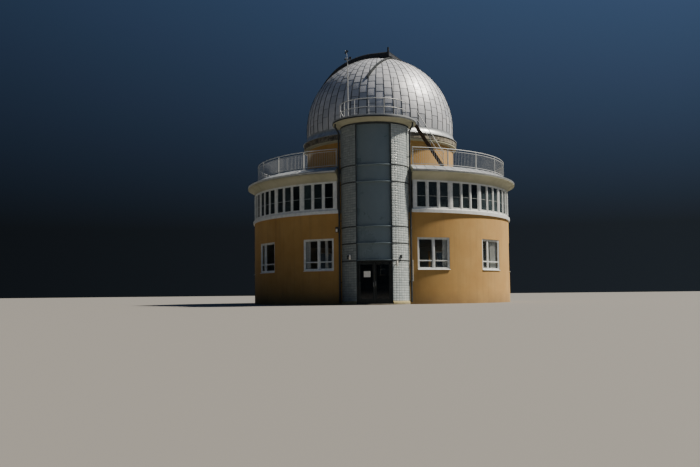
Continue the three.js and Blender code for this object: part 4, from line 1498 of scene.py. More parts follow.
    def sheets(self) -> None:
        """Lays the folded sheets over the shell and cuts the slit out of them."""
        piece = grow("dome_sheets", self.sheet_tree(), {
            "Gores": self.gores, "Rows": self.rows, "Radius": self.radius, "Low": self.low,
            "High": self.high, "Lap": self.lap, "Centre": tuple(DOME_CENTRE), "Seed": 5,
            "Finish": self.palette.dome})
        piece.data.transform(about(self.turn))
        cut_slit(piece.data, self.slit_half, self.slit_past, self.slit_foot, False)
        solid = piece.modifiers.new("thickness", "SOLIDIFY")
        solid.thickness = self.sheet
        solid.offset = 1.0
        settle(piece)
        piece.data.polygons.foreach_set("use_smooth", [True] * len(piece.data.polygons))
        piece.data.set_sharp_from_angle(angle=radians(25))
        show(piece, body=Body.DOME)

    def seams(self) -> None:
        """Makes the standing seams between the gores."""
        inner, outer = self.radius - 0.004, self.radius + self.seam_height
        rows = []
        for t in map(radians, spread(self.low, self.high, 40)):
            # Seams draw together near the crown, so they narrow there
            half = self.seam_width / 2 * min(1.0, 0.35 + cos(t))
            rows.append([(x, -r * cos(t), DOME_CENTRE.z + r * sin(t)) for x, r in (
                (-half, inner), (half, inner), (half * 0.8, outer), (-half * 0.8, outer))])
        seam = Shape().skin(rows)
        piece = self.ring.lay(
            "dome_seams", seam, self.palette.seam, self.gores, self.turn, 360 / self.gores)
        cut_slit(piece.data, self.slit_half, self.slit_past, self.slit_foot, True)
        show(piece, body=Body.DOME)

    def skirt_and_ring(self) -> None:
        """Makes the dark base ring and the flared skirt above it."""
        around = circle(self.steps)
        low, high, out = self.ring_bottom, self.ring_top, self.ring_outer
        base = Shape().turned([
            (self.ring_lip, low), (out - 0.02, low), (out, low + 0.012), (out, low + 0.05),
            (out - 0.012, low + 0.058), (out - 0.012, high - 0.03), (out, high - 0.024), (out, high),
            (self.ring_inner, high), (self.ring_inner, self.ring_seat),
            (self.ring_lip, self.ring_seat)], around, True)
        show(
            base.finish("dome_base_band", self.palette.band), ["dome_base_ring"],
            body=Body.DOME)
        bolt = Shape().turned(
            [(0.002, 0.0), (0.017, 0.0), (0.017, 0.009), (0.012, 0.014), (0.002, 0.014)], circle(6), True)
        shift = Matrix.Translation((0, -(out - 0.013), low + 0.16)) @ Matrix.Rotation(radians(90), 4, "X")
        bolt.points = [shift @ point for point in bolt.points]
        show(
            self.ring.lay("base_band_bolts", bolt, self.palette.iron, 72, 0.0, 5.0),
            body=Body.DOME)
        foot = self.ring_top + 0.0003
        flare = [(self.skirt - 0.006, foot), (self.skirt, foot + 0.006), (self.skirt, foot + 0.036)]
        for t in spread(0.0, 1.0, 14):
            flare.append((
                self.skirt - 0.004 - (self.skirt - 0.004 - self.skirt_neck) * (1 - (1 - t) ** 2.1),
                foot + 0.04 + (self.skirt_top - foot - 0.04) * t))
        skirt = Shape().turned(
            [(self.skirt_inner, foot), *flare, (self.skirt_inner, self.skirt_top)], around, True)
        show(
            skirt.finish("dome_flared_skirt", self.palette.zinc), ["dome_skirt"],
            body=Body.DOME)
        line = [(flare[i], 0.0) for i in range(2, 17, 2)] + [(flare[i], 0.007) for i in range(16, 1, -2)]
        joint = Shape().skin([[(x, -r - d, z) for (r, z), d in line] for x in (-0.012, 0.012)])
        show(
            self.ring.lay("skirt_joints", joint, self.palette.zinc, 26, 0.0, 360 / 26),
            body=Body.DOME)

    def slit_curb(self) -> None:
        """Makes the steel curb along both sides of the slit, over its end and at its foot."""
        half, past, foot = self.slit_half, self.slit_past, self.slit_foot
        top, under, web = 4.786, 4.66, 0.05

        def arc(y: float, low: float, high: float) -> list[Outline]:
            """Outlines of one side of the curb, seen along the slit.

            Args:
                y: Its inner face.
                low: Radius of its underside.
                high: Radius of its top.

            Returns:
                The outlines, from the foot over the zenith.
            """
            near, far = (sqrt(r ** 2 - half ** 2) for r in (low, high))
            turns = spread(asin(foot / low), pi - acos(past / near), 40)
            return [
                [(r * cos(t), y + s, r * sin(t)) for r, s in oblong(near, far, 0.0, web)] for t in turns]

        shape = Shape().skin(arc(half - web / 2, under, top)).skin(arc(-half - web / 2, under, top))
        across = spread(-half, half, 12)
        shape.skin([[(-past + s, y, sqrt(r ** 2 - past ** 2 - y ** 2))
            for r, s in oblong(under, top, -web / 2, web / 2)] for y in across])
        shape.skin([[(sqrt(r ** 2 - foot ** 2 - y ** 2), y, foot + s)
            for r, s in oblong(under, top, -web / 2, web / 2)] for y in across])
        show(shape.finish("slit_curb", self.palette.iron, place=SLIT_AXES), body=Body.DOME)

    def build(self) -> None:
        """Makes the dome."""
        self.sheets()
        self.seams()
        self.skirt_and_ring()
        self.slit_curb()


@dataclass
class SlitCover(Assembly):
    """Box-section cover over the slit, with the curved rail and the pivot that it swings on."""

    outer: float = 4.915
    skin: float = 0.05
    half: float = 1.336
    foot_half: float = 0.80
    taper_from: float = 2.5
    taper_to: float = 5.295
    past: float = 1.277
    fall: float = 0.03
    foot_turn: float = 17.0
    clear: float = 4.80
    rib: float = 0.011
    fin: tuple[float, float, float] = (0.30, 0.11, 0.06)
    rail_span: Pair = (11.0, 55.0)
    rail_x: Pair = (-0.26, -0.11)
    rail_top: float = 4.85
    shoe_turn: float = 14.5
    lug: tuple[float, ...] = (0.24, 0.29, 0.12, 0.055, 4.838, 4.886)

    def half_at(self, x: float) -> float:
        """Half width of the cover at a distance from the dome's axis."""
        share = (x - self.taper_from) / (self.taper_to - self.taper_from)
        return self.half - (self.half - self.foot_half) * max(0.0, share)

    def section(self, turn: float, past: float = 0.0, grow: float = 0.0) -> list[Vector]:
        """Channel outline of the cover, at a turn up to the zenith or at a distance past it.

        Args:
            turn: Degrees over the dome from its edge.
            past: Metres past the zenith, where the roof runs almost level.
            grow: How far the outline stands out past the skin, for a rib.

        Returns:
            The closed outline.
        """
        t = radians(turn)
        outer = self.outer + grow
        half = self.half_at(self.outer * cos(t)) + grow
        low = sqrt(self.clear ** 2 - half ** 2)
        edge = 0.04
        inner, side = outer - grow - self.skin, half - grow - self.skin
        line = [
            (low, -half), (outer - edge, -half), (outer, -half + edge), (outer, half - edge),
            (outer - edge, half), (low, half), (low, side), (inner, side), (inner, -side), (low, -side)]
        if past == 0.0:
            return [Vector((radius * cos(t), y, radius * sin(t))) for radius, y in line]
        return [Vector((-past, y, sqrt(radius ** 2 - past ** 2) if radius == low
            else radius - self.fall * past)) for radius, y in line]

    def cover(self) -> None:
        """Makes the skin, the end wall, ribs, the lug, the runner and the fin."""
        shape = Shape()
        stations = [(turn, 0.0) for turn in spread(self.foot_turn, 90.0, 40)]
        stations += [(90.0, past) for past in spread(0.0, self.past, 8)[1:]]
        shape.skin([self.section(*station) for station in stations])
        roof = self.outer - self.fall * self.past
        wall = []
        for x in (-self.past, -self.past + self.skin):
            low = [(x, y, sqrt(self.clear ** 2 - x ** 2 - y ** 2))
                for y in spread(-self.half + 0.01, self.half - 0.01, 16)]
            wall.append(low + [(x, y, roof - 0.005) for y in (self.half - 0.03, -self.half + 0.03)])
        shape.skin(wall)
        turn = Matrix.Rotation(-radians(self.shoe_turn), 4, "X")
        swing = SLIT_AXES.inverted() @ SWING_AXES
        shape.box(
            (-0.243, -0.078, self.rail_top + 0.001), (-0.03, 0.078, self.rail_top + 0.078), swing @ turn)
        wide, up, down, hole, under, over = self.lug
        corners = [atan2(z, y) % tau for y, z in oblong(wide, -wide, up, -down)]
        turns = sorted(corners + full_turn(24))
        rings = []
        for t in turns:
            y, z = cos(t), sin(t)
            reach = min(wide / max(abs(y), 1e-6), (up if z > 0 else down) / max(abs(z), 1e-6))
            rings.append([swing @ Vector((x, r * y, r * z)) for r, x in oblong(hole, reach, under, over)])
        shape.skin(rings, closed=True)
        height, length, thick = self.fin
        shape.box(
            (-self.past, self.half - thick, roof - 0.02),
            (-self.past + length, self.half, roof + height - 0.02))
        for start, past in [(turn, 0.0) for turn in spread(self.foot_turn + 0.8, 88.0, 7)] + [(90.0, 0.62)]:
            ends = ((start - 0.25, past), (start + 0.25, past)) if past == 0.0 else (
                (90.0, past - 0.02), (90.0, past + 0.02))
            (a, c), (b, d) = ((self.section(*end)[:6], self.section(*end, self.rib)[:6]) for end in ends)
            shape.skin([[a[i], c[i], d[i], b[i]] for i in range(6)])
        piece = shape.finish("slit_cover", self.palette.slate, sharp=28.0, place=SLIT_AXES)
        show(piece, ["shutter_cover"], body=Body.SHUTTER)

    def rail(self) -> None:
        """Makes the curved rail on its brackets."""
        x0, x1 = self.rail_x
        top = self.rail_top
        turns = [radians(a) for a in spread(*self.rail_span, 44)]

        def arc(low: float, high: float, left: float, right: float) -> list[Outline]:
            """Outlines of a bar that follows the rail."""
            return [[(x, r * sin(t), r * cos(t)) for x, r in oblong(left, right, low, high)] for t in turns]

        shape = Shape().skin(arc(top - 0.016, top, x0, x1))
        shape.skin(arc(top - 0.05, top - 0.016, x0 + 0.03, x1 - 0.03)).skin(arc(4.745, top - 0.05, x0, x1))
        show(
            shape.finish("cover_rail", self.palette.iron, place=SWING_AXES),
            ["shutter_rail"], body=Body.DOME)

    def pivot(self) -> None:
        """Makes the pivot plate, pin and its head at the slit's foot."""
        shape = Shape().box((4.7545, -0.19, -0.19), (4.796, 0.19, 0.19))
        aside = Matrix.Rotation(radians(90), 4, "Y")
        for radius, start, stop in ((0.05, 4.77, 4.93), (0.08, 4.8965, 4.93), (0.078, 4.796, 4.829)):
            shape.skin([[aside @ Vector((radius * cos(t), radius * sin(t), x)) for t in full_turn(32)]
                for x in (start, stop)])
        for y in (-0.14, 0.14):
            for z in (-0.14, 0.14):
                shape.skin([[(x, y + 0.02 * cos(t), z + 0.02 * sin(t)) for t in full_turn(6)]
                    for x in (4.796, 4.813)])
        show(
            shape.finish("cover_pivot", self.palette.iron, bevel=0.003, place=SWING_AXES),
            ["shutter_pivot"], body=Body.DOME)

    def build(self) -> None:
        """Makes the cover and what carries it."""
        self.cover()
        self.rail()
        self.pivot()


# The stair tower


@dataclass
class StairTower(Assembly):
    """Round stair tower: plinth, walls of glazed blocks, centre panel, roof, railing, mast and pipes."""

    radius: float = 1.918
    wall: float = 0.2
    foot: float = 0.0503
    top: float = 9.86
    front_edge: float = 30.5
    side_edge: float = 94.5
    back_foot: float = 7.3103
    proud: float = 0.008
    row: float = 0.137
    joint: float = 0.010
    columns: int = 11
    back_columns: int = 29
    bands: tuple[float, ...] = (2.37, 3.31, 4.22, 6.64, 7.56)
    panel: float = 1.77
    panel_foot: float = 2.3703
    ledges: tuple[float, ...] = (3.31, 4.22, 6.64, 7.56)
    plinth: float = 2.0
    plinth_reach: float = 70.5
    plinth_top: float = 0.2
    roof: float = 2.355
    rim_bottom: float = 10.05
    roof_top: float = 10.2
    pipe_angle: float = 74.0
    pipe_radius: float = 2.05

    def mirror(self, hand: Hand, angles: Sequence[float]) -> list[float]:
        """Angles on one side of the tower."""
        return [hand.value * angle for angle in angles]

    def walls(self) -> None:
        """Makes the mortar walls, the bands that run through them and a dark strip of painted shadow under
        each band.
        """
        inner, bed = self.radius - self.wall, self.radius - self.proud
        ease = 0.01
        front = spread(self.front_edge + ease, self.side_edge, 24)
        back = spread(self.side_edge, 180 - ease, 30)
        for hand in Hand:
            shape = Shape(TOWER_AXIS)
            for angles, foot in ((front, self.foot), (back, self.back_foot)):
                shape.turned(oblong(inner, bed, foot, self.top), self.mirror(hand, angles))
            name = hand.name.lower()
            show(
                shape.finish(f"tower_mortar_{name}", self.palette.mortar),
                [f"tower_wall_{name}"])
        ledges, shadows = Shape(TOWER_AXIS), Shape(TOWER_AXIS)
        for level in self.bands:
            for hand in Hand:
                angles = self.mirror(hand, front)
                ledges.turned([
                    (bed, level - 0.008), (self.radius + 0.018, level - 0.008),
                    (self.radius + 0.018, level + 0.018), (self.radius, level + 0.028),
                    (bed, level + 0.028)], angles)
                # A dark strip just under each ledge: painted shadow
                shadows.turned(oblong(bed, self.radius + 0.002, level - 0.05, level - 0.0085), angles)
        show(ledges.finish("tower_band_ledges", self.palette.iron))
        show(shadows.finish("tower_band_joints", self.palette.iron))

    def blocks(self) -> None:
        """Lays the small glazed blocks in rows between the bands."""
        levels = [self.foot, *self.bands, self.top]
        step = (self.side_edge - self.front_edge) / self.columns
        back_step = (360 - 2 * self.side_edge) / self.back_columns
        laid = []
        for number, (low, high) in enumerate(zip(levels, levels[1:])):
            rows = round((high - low) / self.row)
            rise = (high - low) / rows
            # The left strip takes the darker blocks, which paint its shade
            runs = [(self.columns, self.front_edge + step / 2, step, self.palette.block), (
                self.columns, -self.side_edge + step / 2, step, self.palette.painted_shade_block)]
            if high == self.top:
                runs.append(
                    (self.back_columns, self.side_edge + back_step / 2, back_step, self.palette.block))
            for k, (count, start, turn, glaze) in enumerate(runs):
                laid.append(self.ring.lay(
                    "blocks", self.block(low, rise), glaze, count, start, turn, rows, (0.0, 0.0, rise),
                    TOWER_AXIS, seed=3 * number + k))
        show(joined("tower_blocks", laid))

    def block(self, low: float, rise: float) -> Shape:
        """One glazed block with a worn front edge, at angle zero.

        Args:
            low: Foot of its row.
            rise: Height of a row.

        Returns:
            The block.
        """
        step = radians((self.side_edge - self.front_edge) / self.columns)
        half, worn = step * self.radius / 2 - self.joint / 2, 0.006
        rings = []
        for y, inset in (
                (-(self.radius - self.proud - 0.004), 0.0), (-(self.radius - worn * 0.6), 0.0),
                (-self.radius, worn)):
            z0, z1 = low + self.joint / 2 + inset, low + rise - self.joint / 2 - inset
            rings.append([(x, y, z) for x, z in oblong(-half + inset, half - inset, z0, z1)])
        return Shape().skin(rings)

    def front(self) -> None:
        """Makes the recessed centre panel with its ledges, lintel and edge trims."""
        angles = spread(-self.front_edge, self.front_edge, 24)
        inside, edge, nose = 1.48, 1.884, 1.89
        shape = Shape(TOWER_AXIS).turned(
            oblong(self.panel - 0.1, self.panel, self.panel_foot, self.top), angles)
        for level in self.ledges:
            shape.turned([
                (self.panel - 0.02, level - 0.03), (edge, level - 0.03), (nose, level - 0.024),
                (nose, level + 0.014), (edge, level + 0.02), (self.panel - 0.02, level + 0.03)], angles)
        shape.turned([
            (inside, self.panel_foot), (edge, self.panel_foot), (nose, self.panel_foot + 0.006),
            (nose, 2.42), (inside, 2.43)], angles)
        show(shape.finish("tower_panel_sheets", self.palette.enamel), ["tower_front_panel"])
        top = self.top
        head = Shape(TOWER_AXIS).turned(
            oblong(self.panel - 0.02, self.radius + 0.012, top - 0.085, top - 0.001),
            spread(-self.side_edge, self.side_edge, 64))
        show(head.finish("tower_head_band", self.palette.iron))
        trim = Shape(TOWER_AXIS)
        for hand in Hand:
            for at, wide, proud in ((29.35, 1.15, 0.022), (27.4, 0.9, 0.012), (22.8, 0.35, 0.006)):
                trim.turned(
                    oblong(self.panel - 0.004, self.panel + proud, self.panel_foot, self.top),
                    self.mirror(hand, (at, at + wide)))
        show(trim.finish("tower_panel_trims", self.palette.enamel))

    def base(self) -> None:
        """Makes the floor disc, the doorstep and the rounded plinth."""
        shape = Shape(TOWER_AXIS).skin(
            [[on_circle(self.radius - 0.0003, a, z, TOWER_AXIS) for a in circle(96)] for z in (0.0, 0.05)])
        reach = spread(-self.plinth_reach, self.plinth_reach, 44)
        shape.turned([
            (self.radius, 0.0), (self.plinth, 0.0), (self.plinth, 0.042), (self.plinth - 0.008, 0.05),
            (self.radius, 0.05)], reach)
        inner, outer, top = self.radius + 0.0003, self.plinth, self.plinth_top
        for hand in Hand:
            side = self.mirror(hand, spread(self.front_edge, self.plinth_reach, 16))
            shape.turned([
                (inner, 0.0503), (outer, 0.0503), (outer, 0.085), (outer - 0.006, 0.115),
                (outer - 0.02, 0.145), (outer - 0.045, 0.172), (outer - 0.07, 0.192),
                (inner, top)], side, part=1)
        show(
            shape.finish("tower_plinth", self.palette.concrete, self.palette.plinth),
            ["tower_base"])

    def cap(self) -> None:
        """Makes the coved roof, its metal rim with a band of painted shadow under it, and the felt on top.
        """
        around = circle(112)
        inner, foot, out = self.radius - self.wall - 0.06, self.top + 0.0003, self.roof
        shape = Shape(TOWER_AXIS).turned([
            (inner, foot), *quarter((self.radius, foot), (out - 0.012, self.rim_bottom), 10),
            (out - 0.012, self.roof_top - 0.02), (inner, self.roof_top - 0.02)], around, True)
        shape.skin(
            [[on_circle(inner, a, z, TOWER_AXIS) for a in around] for z in (10.0, self.roof_top - 0.02)])
        show(shape.finish("tower_roof_cove", self.palette.cream), ["tower_roof"])
        edge, top = self.roof_top - 0.075, self.roof_top
        rim = Shape(TOWER_AXIS).turned([
            (out - 0.012, edge), (out, edge - 0.006), (out, top - 0.006), (out - 0.006, top),
            (out - 0.07, top), (out - 0.07, top - 0.019), (out - 0.012, top - 0.019)], around, True)
        # Dark iron band under the rim's drip edge: painted shadow
        rim.turned([
            (out - 0.04, self.rim_bottom + 0.002), (out - 0.004, self.rim_bottom - 0.004),
            (out - 0.008, edge - 0.0065), (out - 0.04, edge - 0.0065)], around, True, part=1)
        show(rim.finish("tower_roof_rim", self.palette.zinc, self.palette.iron))
        felt = Shape().skin([[on_circle(out - 0.071, a, z, TOWER_AXIS) for a in around]
            for z in (self.roof_top - 0.0195, self.roof_top - 0.004)])
        show(felt.finish("tower_roof_felt", self.palette.felt))

    def railing(self) -> None:
        """Makes the tubular railing round the tower's roof."""
        steel = self.palette.galvanised
        radius, high, start, step, posts = 1.92, 11.1575, -81.0, 25.0, 7
        end = start + step * (posts - 1)
        arc = spread(start, end, 48)
        levels = [(high, 0.0225), (10.69, 0.018)]
        pieces = [self.rods.run(
            "rail", [[on_circle(radius, a, z, TOWER_AXIS) for a in arc]], r, steel) for z, r in levels]
        uprights = [[on_circle(radius, start + i * step, z, TOWER_AXIS) for z in (self.roof_top, high)]
            for i in range(posts)]
        pieces.append(self.rods.run("posts", uprights, 0.021, steel))
        # End brace at the left, and a thin aerial pole behind the right-hand rail
        brace = [
            on_circle(radius, start, 10.9, TOWER_AXIS),
            on_circle(radius - 0.3, start + 4, self.roof_top, TOWER_AXIS)]
        pole = [on_circle(1.7, 43.0, z, TOWER_AXIS) for z in (self.roof_top, 12.45)]
        pieces.append(self.rods.run("brace", [brace, pole], 0.017, steel))
        plate = Shape().box(
            (-0.06, -radius - 0.06, self.roof_top + 0.0005), (0.06, -radius + 0.06, self.roof_top + 0.011))
        for x in (-0.042, 0.042):
            for y in (-0.042, 0.042):
                plate.box(
                    (x - 0.009, -radius + y - 0.009, self.roof_top + 0.011),
                    (x + 0.009, -radius + y + 0.009, self.roof_top + 0.021))
        pieces.append(self.ring.lay("feet", plate, steel, posts, start, step, axis=TOWER_AXIS))
        show(joined("tower_roof_railing", pieces), ["tower_railing"])

    def mast(self) -> None:
        """Makes the mast with its cross arm, cup wheel and wind vane."""
        foot = on_circle(1.99, -43.0, self.roof_top, TOWER_AXIS)
        up = Vector((0.0, 0.0, 1.0))
        side = Vector((1.0, 0.0, 0.0))
        fork, hub, box = foot + up * 3.12, foot + up * 3.27 - side * 0.07, foot + up * 3.31 + side * 0.15
        tail = foot + up * 3.66 - side * 0.06
        steel, iron = self.palette.galvanised, self.palette.iron
        tip = [foot + up * 3.29, tail, tail + up * 0.1 - side * 0.05]
        arms = [[fork, hub], [fork, box]]
        rods = (("pole", [[foot, foot + up * 3.3]], 0.028), ("tip", [tip], 0.011), ("arms", arms, 0.012))
        pieces = [self.rods.run(*rod, steel) for rod in rods]
        spokes = [[hub, hub + Vector((cos(t), sin(t), 0.0)) * 0.09] for t in (0.4, 2.5, 4.6)]
        pieces.append(self.rods.run("spokes", spokes, 0.005, iron))
        shape = Shape()
        for spoke in spokes:
            way = (spoke[1] - spoke[0]).normalized()
            across = Vector((-way.y, way.x, 0.0))
            rings = [[spoke[1] + across * (0.052 * cos(t) - 0.02) + 0.052 * sin(t) * (
                way * cos(u) + up * sin(u)) for u in full_turn(12)] for t in (0.12, 0.5, 0.9, 1.3, 1.57)]
            shape.skin(rings)
        shape.box((-0.06, -0.06, -0.06), (0.06, 0.06, 0.07), Matrix.Translation(box))
        lean = Matrix.Translation(tail) @ Matrix.Rotation(-0.9, 4, "Y")
        shape.box((-0.1, -0.003, -0.06), (0.12, 0.003, 0.06), lean)
        shape.box((-0.075, -0.075, 0.0005), (0.075, 0.075, 0.012), Matrix.Translation(foot))
        pieces.append(shape.finish("vanes", iron))
        show(joined("mast_with_wind_instruments", pieces), ["mast"])

    def pipes(self) -> None:
        """Makes the two downpipes with collars, clips and swan-necks."""
        iron = self.palette.iron
        for hand in Hand:
            angle = hand.value * self.pipe_angle

            def at(radius: float, height: float) -> Vector:
                """Point beside the tower at the pipe's angle."""
                return on_circle(radius, angle, height, TOWER_AXIS)

            reach = self.pipe_radius
            path = [at(reach, 0.12), at(reach, 9.56), at(2.24, 9.86), at(2.24, 10.045)]
            pieces = [self.rods.run("pipe", [path], 0.05, iron, sides=20, bend=0.12)]
            collars = [[at(reach, z), at(reach, z + 0.07)] for z in (2.1, 4.1, 6.1, 8.1, 9.4)]
            pieces.append(self.rods.run("collars", collars, 0.0565, iron, sides=20))
            clip = Shape()
            for z in (1.2, 4.6, 8.1):
                clip.box((-0.015, -2.002, z), (0.015, -self.radius + 0.004, z + 0.04))
                clip.box((-0.06, -2.065, z + 0.002), (0.06, -2.035, z + 0.038))
            place = about(angle, TOWER_AXIS)
            pieces.append(clip.finish("clips", iron, place=place))
            name = f"downpipe_{hand.name.lower()}"
            show(joined(f"{name}_with_collars", pieces), [name])

    def lamps(self) -> None:
        """Makes the two wall lamps beside the entrance, the light box and the cable pipe on the house."""
        iron, opal, white = self.palette.iron, self.palette.opal, self.palette.white
        # Distance below the arm's end and radius, down the shade
        outline = ((-0.03, 0.03), (0.0, 0.045), (0.1, 0.055), (0.2, 0.058), (0.24, 0.045), (0.25, 0.01))
        pieces, shades = [], Shape()
        for hand, plate, shade, height in ((Hand.RIGHT, 47.0, 36.5, 2.3), (Hand.LEFT, 47.0, 41.0, 2.68)):
            place = about(hand.value * plate, TOWER_AXIS)
            box = Shape().box((-0.045, -2.01, 2.47), (0.045, -self.radius + 0.002, 2.67), place)
            pieces.append(box.finish("lamp_box", iron, bevel=0.006))
            start = on_circle(1.985, hand.value * plate, 2.5, TOWER_AXIS)
            end = on_circle(2.03, hand.value * shade, height, TOWER_AXIS)
            pieces.append(self.rods.run("lamp_arm", [[start, end]], 0.016, iron))
            down = Vector((0.0, 0.0, -1.0))
            shades.skin([[end + down * z + Vector((cos(t), sin(t), 0.0)) * r for t in full_turn(24)]
                for z, r in outline])
        show(joined("entrance_lamp_arms", pieces))
        show(shades.finish("entrance_lamp_shades", opal, sharp=50))
        # What hangs on the house ends just inside the wall's face
        wall = -8.148
        place = about(-15.0)
        case = Shape().box((-0.075, -8.24, 4.0), (0.075, wall, 4.29), place)
        show(case.finish("light_box", iron, bevel=0.012))
        lens = Shape().box((-0.055, -8.255, 4.03), (0.055, -8.238, 4.2), place)
        show(lens.finish("light_box_lens", opal, bevel=0.008))
        run = [on_circle(8.18, 14.5, z) for z in (1.35, 2.42)]
        pipe = self.rods.run("cable_pipe", [run], 0.016, white)
        shape = Shape()
        spot = about(14.5)
        for z in (1.45, 1.9, 2.35):
            shape.box((-0.024, -8.186, z), (0.024, wall, z + 0.02), spot)
        shape.box((-0.03, -8.2, 1.26), (0.03, wall, 1.36), spot)
        show(joined("house_cable_pipe", [pipe, shape.finish("clips", white)]))

    def build(self) -> None:
        """Makes the tower."""
        self.walls()
        self.blocks()
        self.front()
        self.base()
        self.cap()
        self.railing()
        self.mast()
        self.pipes()
        self.lamps()


@dataclass
class Entrance(Assembly):
    """Metal frame and two glazed leaves that open outwards."""

    half: float = 0.9351
    head: float = 2.37
    foot: float = 0.0503
    front: float = -9.125
    depth: float = 0.08
    jamb: float = 0.06
    beam: float = 0.1
    leaf_in: float = 0.004
    leaf_out: float = 0.8591
    leaf_low: float = 0.0783
    leaf_high: float = 2.262
    leaf_front: float = -9.11
    leaf_back: float = -9.06
    stile: float = 0.085
    foot_rail: float = 0.24
    pivot: float = 0.8271

    def frame(self) -> None:
        """Makes the fixed frame, the threshold and the floor pivots."""
        front, back = self.front, self.front + self.depth
        shape = Shape().box((-self.half, front, self.head - self.beam), (self.half, back, self.head))
        shape.box((-self.half, front, self.foot), (self.half, back, self.foot + 0.02))
        for x in (-self.half, self.half - self.jamb):
            shape.box((x, front, self.foot + 0.02), (x + self.jamb, back, self.head - self.beam))
        pins = [[Vector((s * self.pivot, self.leaf_front + 0.025, z))
            for z in (self.foot + 0.015, self.leaf_low - 0.0005)] for s in (-1, 1)]
        pieces = [
            shape.finish("frame", self.palette.door, bevel=0.003),
            self.rods.run("pins", pins, 0.014, self.palette.door)]
        show(joined("entrance_frame", pieces), ["door_frame"])

    def leaf(self, hand: Hand, body: Body) -> None:
        """Makes one leaf: rails, glass, pull handle and, on the left one, a blank card.

        Args:
            hand: Side of the leaf.
            body: Body that it rides on.
        """
        side = hand.value
        shape = Shape()

        def bar(
                x0: float, x1: float, z0: float, z1: float, y0: float = self.leaf_front,
                y1: float = self.leaf_back) -> None:
            """Adds a bar of the leaf, given on the right-hand side."""
            shape.box((min(side * x0, side * x1), y0, z0), (max(side * x0, side * x1), y1, z1))

        low, high, near, far = self.leaf_low, self.leaf_high, self.leaf_in, self.leaf_out
        bar(near, near + self.stile, low, high)
        bar(far - self.stile, far, low, high)
        bar(near + self.stile, far - self.stile, low, low + self.foot_rail)
        bar(near + self.stile, far - self.stile, high - 0.09, high)
        glass_x, glass_z = (near + self.stile, far - self.stile), (low + self.foot_rail, high - 0.09)
        for z0, z1 in ((glass_z[0], glass_z[0] + 0.014), (glass_z[1] - 0.014, glass_z[1])):
            bar(*glass_x, z0, z1, self.leaf_front + 0.008, self.leaf_back - 0.008)
        for x in (glass_x[0], glass_x[1] - 0.014):
            bar(
                x, x + 0.014, glass_z[0] + 0.014, glass_z[1] - 0.014, self.leaf_front + 0.008,
                self.leaf_back - 0.008)
        name = hand.name.lower()
        show(
            shape.finish(f"entrance_leaf_{name}", self.palette.door, bevel=0.002),
            [f"door_{name}"], body=body)
        pane = Shape().box(
            (min(side * v for v in glass_x) - 0.005, -9.089, glass_z[0] - 0.005),
            (max(side * v for v in glass_x) + 0.005, -9.081, glass_z[1] + 0.005))
        show(pane.finish(f"entrance_glass_{name}", self.palette.glass), body=body)
        x = side * 0.055
        pull = [
            [Vector((x, y, z)) for y, z in oblong(self.leaf_front, self.leaf_front - 0.055, 0.97, 1.27)]]
        show(
            self.rods.run(f"entrance_pull_{name}", pull, 0.011, self.palette.stainless, bend=0.03),
            body=body)
        if hand is Hand.LEFT:
            card = Shape().box((-0.58, -9.0915, 1.48), (-0.22, -9.0893, 1.80))
            show(card.finish("blank_notice", self.palette.card), body=body)

    def build(self) -> None:
        """Makes the entrance."""
        self.frame()
        self.leaf(Hand.LEFT, Body.LEFT_LEAF)
        self.leaf(Hand.RIGHT, Body.RIGHT_LEAF)


@dataclass
class RoofStair(Assembly):
    """Steep steel stair from the terrace to the tower's roof."""

    foot: Pair = (3.95, 7.5603)
    top: Pair = (2.33, 10.2)
    near: float = -6.70
    width: float = 0.5
    flange: float = 0.045
    depth: float = 0.15
    treads: int = 10
    rail: float = 0.88

    def build(self) -> None:
        """Makes the stringers, treads and handrail."""
        (x0, z0), (x1, z1) = self.foot, self.top
        run, rise = x1 - x0, z1 - z0
        half = self.depth / 2 / sin(atan2(rise, -run))
        shape = Shape()
        for y, out in ((self.near, 1), (self.near + self.width, -1)):
            for a, b, thick in (
                    (-half, half, 0.008), (-half, -half + 0.012, self.flange),
                    (half - 0.012, half, self.flange)):
                low = 0.05 if b < 0 and y == self.near else 0.0
                shape.skin([[(x + s, v, z) for s, v in oblong(a, b, y, y + out * thick)]
                    for x, z in ((x0, z0), (x1 - low * run / rise, z1 - low))])
        tread = Shape()
        step = (run / (self.treads + 1), rise / (self.treads + 1))
        first = Vector((x0 + step[0], self.near + self.width / 2, z0 + step[1]))
        tread.box((-0.09, -self.width / 2 + 0.008, -0.015), (0.09, self.width / 2 - 0.008, -0.009))
        for x in (-0.09, 0.084):
            tread.box((x, -self.width / 2 + 0.008, -0.009), (x + 0.006, self.width / 2 - 0.008, 0.015))
        for x in (-0.06, -0.03, 0.0, 0.03, 0.06):
            tread.box(
                (x - 0.002, -self.width / 2 + 0.008, -0.009), (x + 0.002, self.width / 2 - 0.008, 0.013))
        steps = self.ring.lay(
            "treads", tread, self.palette.rust, 1, 0.0, 0.0, self.treads, (step[0], 0.0, step[1]), first)
        frame = joined("roof_stair_stringers", [shape.finish("stringers", self.palette.rust), steps])
        show(frame, ["roof_stair"])
        y = self.near + 0.02

        def along(share: float, lift: float) -> Vector:
            """Point over the near stringer."""
            return Vector((x0 + run * share, y, z0 + rise * share + lift))

        posts = [[along(s, -0.05), along(s, self.rail)] for s in (0.06, 0.5, 0.94)]
        rail = [[along(s, self.rail) for s in (0.03, 0.97)]]
        middle = [[along(s, 0.44) for s in (0.06, 0.94)]]
        rods = (("rail", rail, 0.02), ("middle", middle, 0.011), ("posts", posts, 0.017))
        pieces = [self.rods.run(*rod, self.palette.galvanised) for rod in rods]
        show(joined("roof_stair_handrail", pieces))


# Studio


